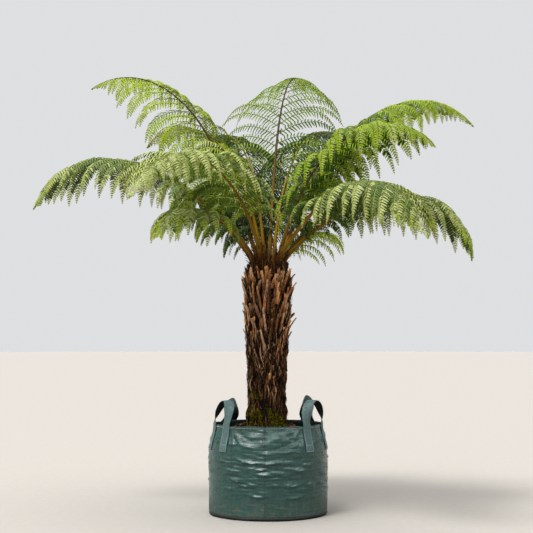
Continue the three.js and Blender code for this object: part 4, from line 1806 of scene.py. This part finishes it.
@dataclass
class Frond:
    """One frond, as its midrib, its outline and its greens give it. Lengths in metres, angles in degrees.

    rise and fall are the midrib's pitch at its foot and its tip, bend how late it turns over,
    width the longest side leaflet, droop how far the side leaflets hang, lift how they rise at
    first, sweep how far they slant to the tip, sway a turn of the heading along it, roll a turn
    of the blade about it, and seat the place on the ring where that isn't the heading. An extra
    layer of leaflets underneath takes the backing green, painted shade that darkens the gaps
    between those above, and backed is how far out that layer goes. The leaflets begin
    at start, a share of the length. tuck and neck draw the foot inwards, and sunk runs it down.
    """

    index: int
    ring: Ring
    heading: float
    length: float
    rise: float
    fall: float
    bend: float
    width: float
    droop: float
    lift: float
    tones: tuple[LeafTone, LeafTone, LeafTone, LeafTone]
    stalk: Stalk = Stalk.GOLDEN
    sway: float = 0.0
    roll: float = 0.0
    seat: float | None = None
    shade_backing: LeafTone = LeafTone.DEEP
    backed: float = 0.66
    skyward: float = 0.4
    sweep: float = 19.0
    foot_height: float = 1.2503
    steps: int = 80
    stations: int = 24
    start: float = 0.2
    tuck: float = 0.034
    neck: float = 0.09
    sunk: float = 0.055
    thickness: tuple[float, ...] = (0.0112, 0.0082, 0.0042, 0.0013)
    pinna_gap: float = 0.052
    pinnule: float = 0.047
    pinnule_gap: float = 0.0108
    shade_backing_gap: float = 0.005
    deals: tuple[float, float, float] = (0.28, 0.52, 0.93)

    def __post_init__(self) -> None:
        """Works out the midrib's places and the side leaflets' ribs."""
        self.outward = spokes(np.radians(self.heading if self.seat is None else self.seat))
        middles = (np.arange(self.steps) + 0.5) / self.steps
        step = self.ways(middles)[0] * (self.length / self.steps)
        self.places = np.concatenate([np.zeros((1, 3)), np.cumsum(step, axis=0)])
        self.places += self.outward * self.ring.value + UP * self.foot_height
        run = np.linspace(0, self.length, self.steps + 1)[:, None] / self.neck
        inwards = self.tuck * run * np.exp(1 - run) + 0.017 * np.exp(-run)
        self.places -= self.outward * math.cos(math.radians(self.rise)) * inwards
        self.draw = np.random.default_rng(1000 + self.index)
        self.ribs, self.reach, self.share = self.pinnae()

    def ways(self, share: np.ndarray) -> tuple[np.ndarray, np.ndarray]:
        """The midrib's direction, and the way square to it and upwards.

        Args:
            share: of the midrib's length.

        Returns:
            The two directions, one row each.
        """
        pitch = np.radians(self.rise + (self.fall - self.rise) * share**self.bend)
        level = spokes(np.radians(self.heading + self.sway * share))
        steep, flat = np.sin(pitch)[..., None], np.cos(pitch)[..., None]
        return level * flat + UP * steep, UP * flat - level * steep

    def midrib(self, share: np.ndarray) -> Line:
        """The midrib at shares of its length: its place, and its ways to the tip, side and face.

        Args:
            share: of the midrib's length.

        Returns:
            The midrib's line.
        """
        share = np.clip(share, 0, 1)
        at = share * self.steps
        place = np.stack([np.interp(at, np.arange(self.steps + 1), c) for c in self.places.T], axis=-1)
        ahead, over = self.ways(share)
        across = np.cross(ahead, over)
        roll = math.radians(self.roll)
        face = over * math.cos(roll) - across * math.sin(roll)
        side = across * math.cos(roll) + over * math.sin(roll)
        return Line(place, ahead, side, face)

    @staticmethod
    def outline(share: np.ndarray) -> np.ndarray:
        """Half the blade's width at a share of its length, over its greatest.

        Args:
            share: of the blade's length.

        Returns:
            A share for each.
        """
        foot, swell, taper = 0.12, 0.6, 0.95
        widest = (swell - taper * foot) / (swell + taper)

        def raw(x: np.ndarray) -> np.ndarray:
            """The half width, not yet set against its greatest."""
            return (x + foot) ** swell * (1 - x) ** taper

        return raw(np.clip(share, 0, 1)) / raw(np.array(widest))

    def pinna_shares(self) -> np.ndarray:
        """Where along the blade the side leaflets leave it, closer together to its tip."""
        fine = np.linspace(0, 1, 400)
        gap = self.pinna_gap * np.minimum(1, 0.28 + 1.05 * self.outline(fine))
        count = np.cumsum(np.full(400, (1 - self.start) * self.length / 400) / gap)
        return np.interp(np.arange(0.4, count[-1] - 0.3), count, fine)

    def pinnae(self) -> tuple[Line, np.ndarray, np.ndarray]:
        """The side leaflets' ribs.

        Returns:
            Their lines, their lengths, and their shares along the blade.
        """
        draw, along = self.draw, self.pinna_shares()
        share, side = np.repeat(along, 2), np.tile([-1.0, 1.0], len(along))
        count = len(share)
        share = np.clip(share + side * 0.006 + draw.normal(0, 0.0015, count), 0, 0.995)
        rib = self.midrib(self.start + (1 - self.start) * share)
        reach = self.width * self.outline(share) * (1 - 0.25 * ease((share - 0.6) / 0.4))
        reach = np.maximum(reach, 0.012) * draw.normal(1.03, 0.05, count)
        sweep = np.radians(self.sweep + 28 * share + draw.normal(0, 3.2, count))[:, None]
        lift = np.radians(self.lift + draw.normal(0, 4.5, count))[:, None]
        first = side[:, None] * np.cos(lift) * rib.side + np.sin(lift) * rib.up
        first = first * np.cos(sweep) + rib.along * np.sin(sweep)
        droop = (self.droop + draw.normal(0, 0.05, count))[:, None, None]
        hang = np.clip(droop * ((np.arange(self.stations) + 0.5) / self.stations)[None, :, None], 0, 0.97)
        way = unit(first[:, None, :] * (1 - hang) - UP * hang)
        step = way * (reach / self.stations)[:, None, None]
        place = np.concatenate([np.zeros((count, 1, 3)), np.cumsum(step, axis=1)], axis=1)
        place += rib.place[:, None, :]
        towards = unit(np.concatenate([way[:, :1], (way[:, 1:] + way[:, :-1]) / 2, way[:, -1:]], axis=1))
        face = side[:, None, None] * np.cross(towards, rib.along[:, None, :]) + self.skyward * UP
        face = squared(face, towards)
        return Line(place, towards, np.cross(face, towards), face), reach, share

    def leaflets(self, stamps: list[Stamp], lower: Stamp) -> Object:
        """Sets the small leaflets along the side leaflets' ribs, and deals out the greens.

        Args:
            stamps: the leaflet's shapes, from flat to curled.
            lower: the plain shape of those in the layer underneath, which is dealt a dark green as painted
                shade.

        Returns:
            All of the frond's leaflets, as one object.
        """
        draw, pitch = self.draw, self.pinnule_gap + 0.0125 * self.reach
        tally = np.maximum(4, np.rint(self.reach * 0.98 / pitch)).astype(int)
        pinna = np.repeat(np.arange(len(tally)), 2 * tally)
        number = np.arange(len(pinna)) - 2 * (np.cumsum(tally) - tally)[pinna]
        tally, pitch, share = tally[pinna], pitch[pinna], self.share[pinna]
        t = 1 - (1 - (number % tally + 0.6) / (tally + 0.6)) ** 1.15
        at = self.ribs.between(pinna, t * self.stations)
        way, face = unit(at.along), unit(at.up)
        side = np.where(number < tally, -1.0, 1.0)[:, None] * unit(at.side)
        full = (1 - t**2) ** 0.9 * (0.74 + 0.26 * ease(t / 0.12))
        size = np.minimum(self.pinnule, 0.004 + 0.15 * self.reach[pinna]) * full + 0.002
        wide = (pitch * (0.58 + 0.2 * t) * np.minimum(1, 0.55 + full))[:, None]
        count = len(t)
        lean = np.radians(22 + 16 * t + draw.normal(0, 2.5, count))[:, None]
        sink = (0.08 + 0.08 * draw.random(count))[:, None]
        x = unit(side * np.cos(lean) + way * np.sin(lean) - face * sink - 0.1 * UP)
        twist = (0.15 * draw.normal(0, 1, count))[:, None]
        z = squared(face, x)
        z = unit(z + np.cross(x, z) * twist)
        y = np.cross(z, x)
        size = (size * draw.normal(1, 0.06, count))[:, None]
        slots = self.deal(pinna, t, share)
        pile = Pile()
        kind = draw.integers(0, len(stamps), count)
        for index, stamp in enumerate(stamps):
            own = kind == index
            points = stamp.laid(at.place[own], (x * size)[own], (y * wide)[own], (z * size)[own])
            pile.add(stamp, points, slots[own])
        # Painted shade: an extra layer of leaflets under the gaps, in the backing's dark green.
        under = (t + draw.normal(0, 0.06, count) < self.backed) & (share < 0.88)
        place = (at.place + way * wide * 0.8 - z * self.shade_backing_gap)[under]
        points = lower.laid(place, (x * size * 0.9)[under], (y * wide * 1.3)[under], (z * size)[under])
        pile.add(lower, points, len(self.tones))
        return pile.build(f"frond_{self.index:02d}_leaflets", [*self.tones, self.shade_backing])

    def deal(self, pinna: np.ndarray, t: np.ndarray, share: np.ndarray) -> np.ndarray:
        """Deals out the frond's four greens: by spray, and lighter to the tips.

        Args:
            pinna: the side leaflet that each small one is on.
            t: how far out along it.
            share: how far along the blade.

        Returns:
            The material slot of each small leaflet.
        """
        spray = self.draw.normal(0, 0.16, pinna.max() + 1)[pinna]
        light = 0.45 * share + 0.6 * t + spray + self.draw.normal(0, 0.11, len(t))
        return np.digitize(light, self.deals)

    def side_ribs(self, stamp: Stamp) -> Object:
        """The side leaflets' own thin ribs, each one tube.

        Args:
            stamp: the rib's shape.

        Returns:
            The ribs, as one object.
        """
        levels = len(stamp.levels()[0])
        kept = np.rint(np.linspace(0, self.stations, levels)).astype(int)
        thick = 0.0008 + 0.0042 * self.reach[:, None] * (1 - np.linspace(0, 1, levels))[None, :] ** 0.8
        points = stamp.along(self.ribs.picked(np.s_[:, kept]), thick)
        return Pile().add(stamp, points).build(f"frond_{self.index:02d}_side_ribs", [self.stalk.value[1]])

    def rachis(self, stamp: Stamp) -> Object:
        """The stalk and midrib, as one tapering, grooved stem.

        Args:
            stamp: the stem's shape.

        Returns:
            The stem.
        """
        levels, ring = stamp.levels()
        run = levels**1.3 * (self.length + self.sunk) - self.sunk
        line = self.midrib(run / self.length)
        line.place += np.maximum(-run, 0)[:, None] * (0.15 * self.outward - UP)
        thick = np.interp(run / self.length, [0, self.start, 0.6, 1], self.thickness)
        thick = thick + 0.0035 * np.exp(-np.maximum(run, 0) / 0.05)
        pile = Pile().add(stamp, stamp.along(line.picked(None), thick[None]), 0, run[ring][None])
        obj = pile.build(f"frond_{self.index:02d}_rachis", [self.stalk.value[0]])
        Bench.mark(obj, "edge", 1 - np.minimum(abs(abs(stamp.points[:, 0]) - 0.81) / 0.19, 1))
        return obj


@dataclass
class Crown:
    """The fronds, from the same sizes as the frame's, and the scales at their feet.

    curls gives each shape of leaflet: how far its tip bends down, and how far its halves are raised.
    """

    curls: tuple[tuple[float, float], ...] = ((0.1, 0.1), (0.24, 0.22), (0.4, 0.12))
    groove: float = 0.35
    scales: int = 40
    scale_length: tuple[float, float] = (0.010, 0.024)
    scale_finishes: tuple[EarthFinish, ...] = (
        EarthFinish("scale_dark", (0.01, 0.004, 0.002), (0.035, 0.012, 0.004), (0.1, 0.04, 0.014), scale=120),
        EarthFinish("scale_red", (0.05, 0.016, 0.004), (0.15, 0.055, 0.015), (0.3, 0.13, 0.04), scale=120),
        EarthFinish("scale_tan", (0.16, 0.08, 0.03), (0.32, 0.17, 0.06), (0.5, 0.3, 0.13), scale=120),
    )
    seed: int = 91

    def fronds(self) -> list[Frond]:
        """The sixteen fronds.

        Returns:
            The fronds, in the order of their numbers.
        """
        shady, deep, mid, dull, young, bright, pale, yellow = LeafTone
        green = (deep, mid, young, bright)
        olive = (mid, dull, pale, bright)
        shade = (shady, deep, mid, mid)
        outer, middle, inner = Ring
        dark = Stalk.DARK
        back = {"start": 0.14, "backed": 1.2}
        return [
            Frond(1, inner, 78, 1.63, 78, -26, 2.5, 0.41, 0.74, -4, (mid, young, young, bright), dark,
                  sway=-2, skyward=0.12, sweep=28, pinna_gap=0.064, pinnule=0.043, pinnule_gap=0.0115,
                  backed=0.0),
            Frond(2, middle, 153, 1.64, 71, -27, 2.5, 0.36, 0.85, 0, (dull, bright, bright, pale), dark,
                  roll=18, backed=0.0),
            Frond(3, middle, 17, 1.60, 68, -46, 2.3, 0.34, 0.95, 5, (mid, bright, bright, pale), shade_backing=mid),
            Frond(4, middle, 233, 1.34, 74, -61, 1.2, 0.39, 0.85, 13, (dull, pale, pale, pale), sway=4,
                  shade_backing=mid),
            Frond(5, middle, -26, 1.27, 75, -55, 1.9, 0.39, 0.85, 5, (mid, bright, bright, pale), dark,
                  sway=-5),
            Frond(6, outer, 172, 1.46, 56, -63, 1.8, 0.38, 0.85, 11, olive, sweep=28, start=0.33),
            Frond(7, outer, -2, 1.26, 49.5, -90, 1.77, 0.36, 0.88, 4, olive, sway=5, sweep=24, start=0.29),
            Frond(8, outer, -51, 1.29, 47, -74, 1.7, 0.36, 0.95, 2, olive, sway=-2, start=0.29),
            Frond(9, outer, 207, 0.73, 59, -80, 1.8, 0.28, 0.85, 5, (dull, pale, bright, yellow), sway=4,
                  shade_backing=mid, start=0.3),
            # Frond 10 is dealt brighter greens than the rest: painted light on its shaded underside.
            Frond(10, inner, 140, 1.32, 79, -41, 1.9, 0.30, 0.85, 5, (bright, pale, pale, yellow), seat=185,
                  backed=0.0),
            Frond(11, inner, 112, 1.27, 83, -21, 1.5, 0.33, 0.80, 5, shade, seat=130, shade_backing=shady, **back),
            Frond(12, inner, 61, 1.23, 83, -13, 1.5, 0.33, 0.80, 5, shade, seat=25, shade_backing=shady, **back),
            Frond(13, outer, 56, 0.66, 32, -45, 3.2, 0.24, 0.85, 2, (young, bright, bright, yellow),
                  backed=0.0),
            Frond(14, outer, 93, 1.25, 52, -55, 1.7, 0.33, 0.90, 5, green, **back),
            Frond(15, outer, 121, 1.20, 56, -50, 1.7, 0.33, 0.90, 5, green, **back),
            Frond(16, outer, 29, 1.18, 50, -62, 2.0, 0.24, 0.90, 2, green),
        ]

    def leaflet(self, curl: float, fold: float, columns: int = 6) -> Stamp:
        """Models one small leaflet: a grid drawn to a lobed outline, folded on its rib and curled.

        Args:
            curl: how far its tip bends down.
            fold: how far its halves are raised.
            columns: faces along it.

        Returns:
            The leaflet, a unit long and a unit wide.
        """
        Bench.clear()
        bpy.ops.mesh.primitive_grid_add(x_subdivisions=columns, y_subdivisions=2, size=1,
                                        location=(0.5, 0, 0))
        obj = Bench.named("leaflet")
        points = Bench.places(obj)
        x, y = points[:, 0].copy(), points[:, 1].copy()
        column = np.rint(x * columns).astype(int)
        lobe = np.where(column % 2 == 1, 1.0, 0.72)
        half = 0.5 * lobe * (1 - 0.8 * x**2.4) * np.where(column == 0, 0.5, 1.0)
        points[:, 1] = np.sign(y) * half * (column < columns)
        points[:, 0] = x + 0.045 * (column % 2) * (abs(y) > 0.1)
        points[:, 2] = fold * abs(points[:, 1]) - curl * x**2 + 0.03
        Bench.move(obj, points)
        with Bench.editing(obj) as mesh:
            Bench.pick(obj, mesh.verts, lambda v: v.co.x > 0.97)
            bpy.ops.mesh.merge(type="CENTER")
        return Stamp.of(obj)

    def stem(self, sides: int, rings: int, groove: float = 0.0) -> Stamp:
        """Models one upright unit stem, pressed in down its upper side by the groove.

        Args:
            sides: faces round it.
            rings: faces up it.
            groove: how deep the groove is.

        Returns:
            The stem.
        """
        obj = Bench.sleeve("stem", 1.0, 0.0, 1.0, sides, rings, capped=True)
        points = Bench.places(obj)
        points[:, 1] -= groove * (points[:, 1] > 0.85) * points[:, 1]
        Bench.move(obj, points)
        return Stamp.of(obj)

    def foot_scales(self, fronds: list[Frond]) -> Object:
        """Papery brown scales on the stalks' feet and over the stem's top.

        Args:
            fronds: the fronds.

        Returns:
            The scales, as one object.
        """
        Bench.clear()
        bpy.ops.mesh.primitive_grid_add(x_subdivisions=4, y_subdivisions=2, size=1, location=(0.5, 0, 0))
        obj = Bench.named("scale")
        points = Bench.places(obj)
        x = points[:, 0].copy()
        points[:, 1] *= np.sin(math.pi * np.clip(0.12 + 0.88 * x, 0, 1)) ** 0.7 + 0.05
        points[:, 2] = 0.5 * x**2 + 0.5 * abs(points[:, 1])
        Bench.move(obj, points)
        stamp = Stamp.of(obj)
        draw = np.random.default_rng(self.seed)
        pile, each = Pile(), self.scales
        for frond in fronds:
            share = 0.1 * draw.random(each) ** 1.5 / frond.length
            line = frond.midrib(share)
            turn = draw.uniform(0, 2 * math.pi, each)[:, None]
            spoke = line.side * np.cos(turn) + line.up * np.sin(turn)
            thick = (0.0118 + 0.007 * np.exp(-share * frond.length / 0.045))[:, None]
            x = unit(line.along + 0.25 * spoke + 0.2 * draw.normal(size=(each, 3)))
            z = squared(spoke, x)
            size = draw.uniform(*self.scale_length, (each, 1))
            y = np.cross(z, x)
            points = stamp.laid(line.place + spoke * thick, x * size, y * size * 0.22, z * size * 0.3)
            pile.add(stamp, points, draw.choice(3, each, p=[0.45, 0.35, 0.2]))
        return pile.build("crown_scales", self.scale_finishes)

    def build(self) -> list[Object]:
        """Builds every frond's pieces and the scales.

        Returns:
            The pieces.
        """
        leaflets = [self.leaflet(curl, fold) for curl, fold in self.curls]
        lower = self.leaflet(0.2, 0.0, 2)
        stem, rib = self.stem(10, 64, self.groove), self.stem(3, 8)
        made, fronds = [], self.fronds()
        for frond in fronds:
            name = f"frond_{frond.index:02d}"
            leaves = frond.leaflets(leaflets, lower)
            made.append(hand_in(leaves, "leaf", f"{name}_inner_blade", f"{name}_outer_blade"))
            made.append(hand_in(frond.side_ribs(rib), "stipe"))
            made.append(hand_in(frond.rachis(stem), "stipe", f"{name}_stipe"))
        return [*made, hand_in(self.foot_scales(fronds), "stipe")]


@dataclass
class Studio:
    """A plain pale floor, soft light and the camera at the photograph's viewing angle.

    The camera's numbers come from the photograph's 533 pixels: at a focal length of 1200 pixels the
    horizon lies 68.5 below the middle. gleams are the lamps that only gleam on the bag: name, place
    and width.
    """

    camera_place: tuple[float, float, float] = (-0.0076, -6.1, 0.893)
    pitch: float = math.atan(68.5 / 1200)
    lens: float = 36 * 1200 / 533
    sensor: float = 36.0
    far: float = 200.0
    floor_radius: float = 60.0
    sky_bands: tuple[tuple[float, Colour], ...] = (
        (0.28, (0.25, 0.253, 0.257)), (0.42, (0.12, 0.125, 0.13)), (0.66, (0.16, 0.165, 0.17)),
        (0.92, (1.0, 1.0, 1.0)),
    )
    sky_strength: float = 2.5
    gleam: float = 14.0
    gleams: tuple[tuple[str, tuple[float, float, float], float], ...] = (
        ("gleam_left", (-3.9, -1.6, 3.0), 4.0), ("gleam_middle", (0.0, -3.6, 3.2), 6.0),
        ("gleam_right", (3.9, -1.6, 3.0), 4.0),
    )

    def floor(self) -> None:
        """Lays the floor."""
        Bench.clear()
        bpy.ops.mesh.primitive_circle_add(vertices=96, radius=self.floor_radius, fill_type="NGON")
        floor = Bench.named("floor")
        Bench.dress(floor, FloorFinish())
        floor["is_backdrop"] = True

    def sky(self) -> None:
        """A pale overcast sky, brighter overhead."""
        board = Board(bpy.data.worlds.new("overcast"))
        bpy.context.scene.world = board.owner
        height = board.split(board.node("ShaderNodeTexCoord").outputs["Generated"])[2]
        background = board.tree.nodes["Background"]
        board.join(board.ramp(height, *self.sky_bands), background.inputs["Color"])
        background.inputs["Strength"].default_value = self.sky_strength

    def lamp(self, kind: str, name: str, place: tuple[float, float, float], energy: float,
             size: float, height: float = 0.0, aim: float = 1.3) -> Object:
        """Adds a lamp that looks at the plant's axis.

        Args:
            kind: SUN or AREA.
            name: the lamp's name.
            place: where it stands.
            energy: its strength.
            size: a sun's angle in degrees, or an area's width in metres.
            height: an area's height in metres, if it isn't as high as it is wide.
            aim: the height on the axis that it looks at.

        Returns:
            The lamp.
        """
        data = bpy.data.lights.new(name, kind)
        data.energy = energy
        if kind == "SUN":
            data.angle = math.radians(size)
        else:
            data.shape = "RECTANGLE"
            data.size, data.size_y = size, height or size
        lamp = bpy.data.objects.new(name, data)
        lamp.visible_camera = False
        bpy.context.scene.collection.objects.link(lamp)
        lamp.location = place
        way = np.array([0.0, 0.0, aim]) - np.array(place)
        lamp.rotation_euler = Vector(way).to_track_quat("-Z", "Y").to_euler()
        return lamp

    def gloss(self, pieces: list[Object]) -> None:
        """Adds the wide soft lamps round the front that only gleam on these pieces, the bag's.

        Args:
            pieces: what they gleam on.
        """
        lit = bpy.data.collections.new("gloss_on")
        for piece in pieces:
            lit.objects.link(piece)
        for name, place, width in self.gleams:
            lamp = self.lamp("AREA", name, place, self.gleam * width, width, 1.0, 0.25)
            lamp.visible_diffuse = False
            lamp.light_linking.receiver_collection = lit

    def build(self, bag_pieces: list[Object]) -> None:
        """Sets the floor, the light and the camera.

        Args:
            bag_pieces: what the gloss lamps gleam on.
        """
        self.floor()
        self.sky()
        self.lamp("SUN", "high_sun", (-1.8, -2.0, 6.0), 2.6, 18)
        self.lamp("AREA", "front_softbox", (-2.5, -5.0, 4.5), 30, 3.0)
        self.gloss(bag_pieces)
        data = bpy.data.cameras.new("photograph_view")
        data.lens, data.sensor_width, data.clip_end = self.lens, self.sensor, self.far
        camera = bpy.data.objects.new("photograph_view", data)
        scene = bpy.context.scene
        scene.collection.objects.link(camera)
        camera.location = self.camera_place
        camera.rotation_euler = (math.pi / 2 + self.pitch, 0, 0)
        scene.camera = camera
        scene.view_settings.view_transform = "Standard"
        scene.view_settings.look = "Medium High Contrast"


def corners() -> list[list[float]]:
    """The shown object's lowest and highest corner, as plain lists."""
    return [[float(c) for c in corner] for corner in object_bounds()]


def main() -> None:
    """Builds the sub-assemblies in order."""
    logging.basicConfig(level=logging.INFO, format="%(message)s")
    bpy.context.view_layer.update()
    bag = GrowBag()
    bag_pieces = bag.build()
    Handles(bag).build()
    PottingSoil().build()
    Trunk().build()
    Crown().build()
    Studio().build(bag_pieces)


if __name__ == "__main__":
    main()
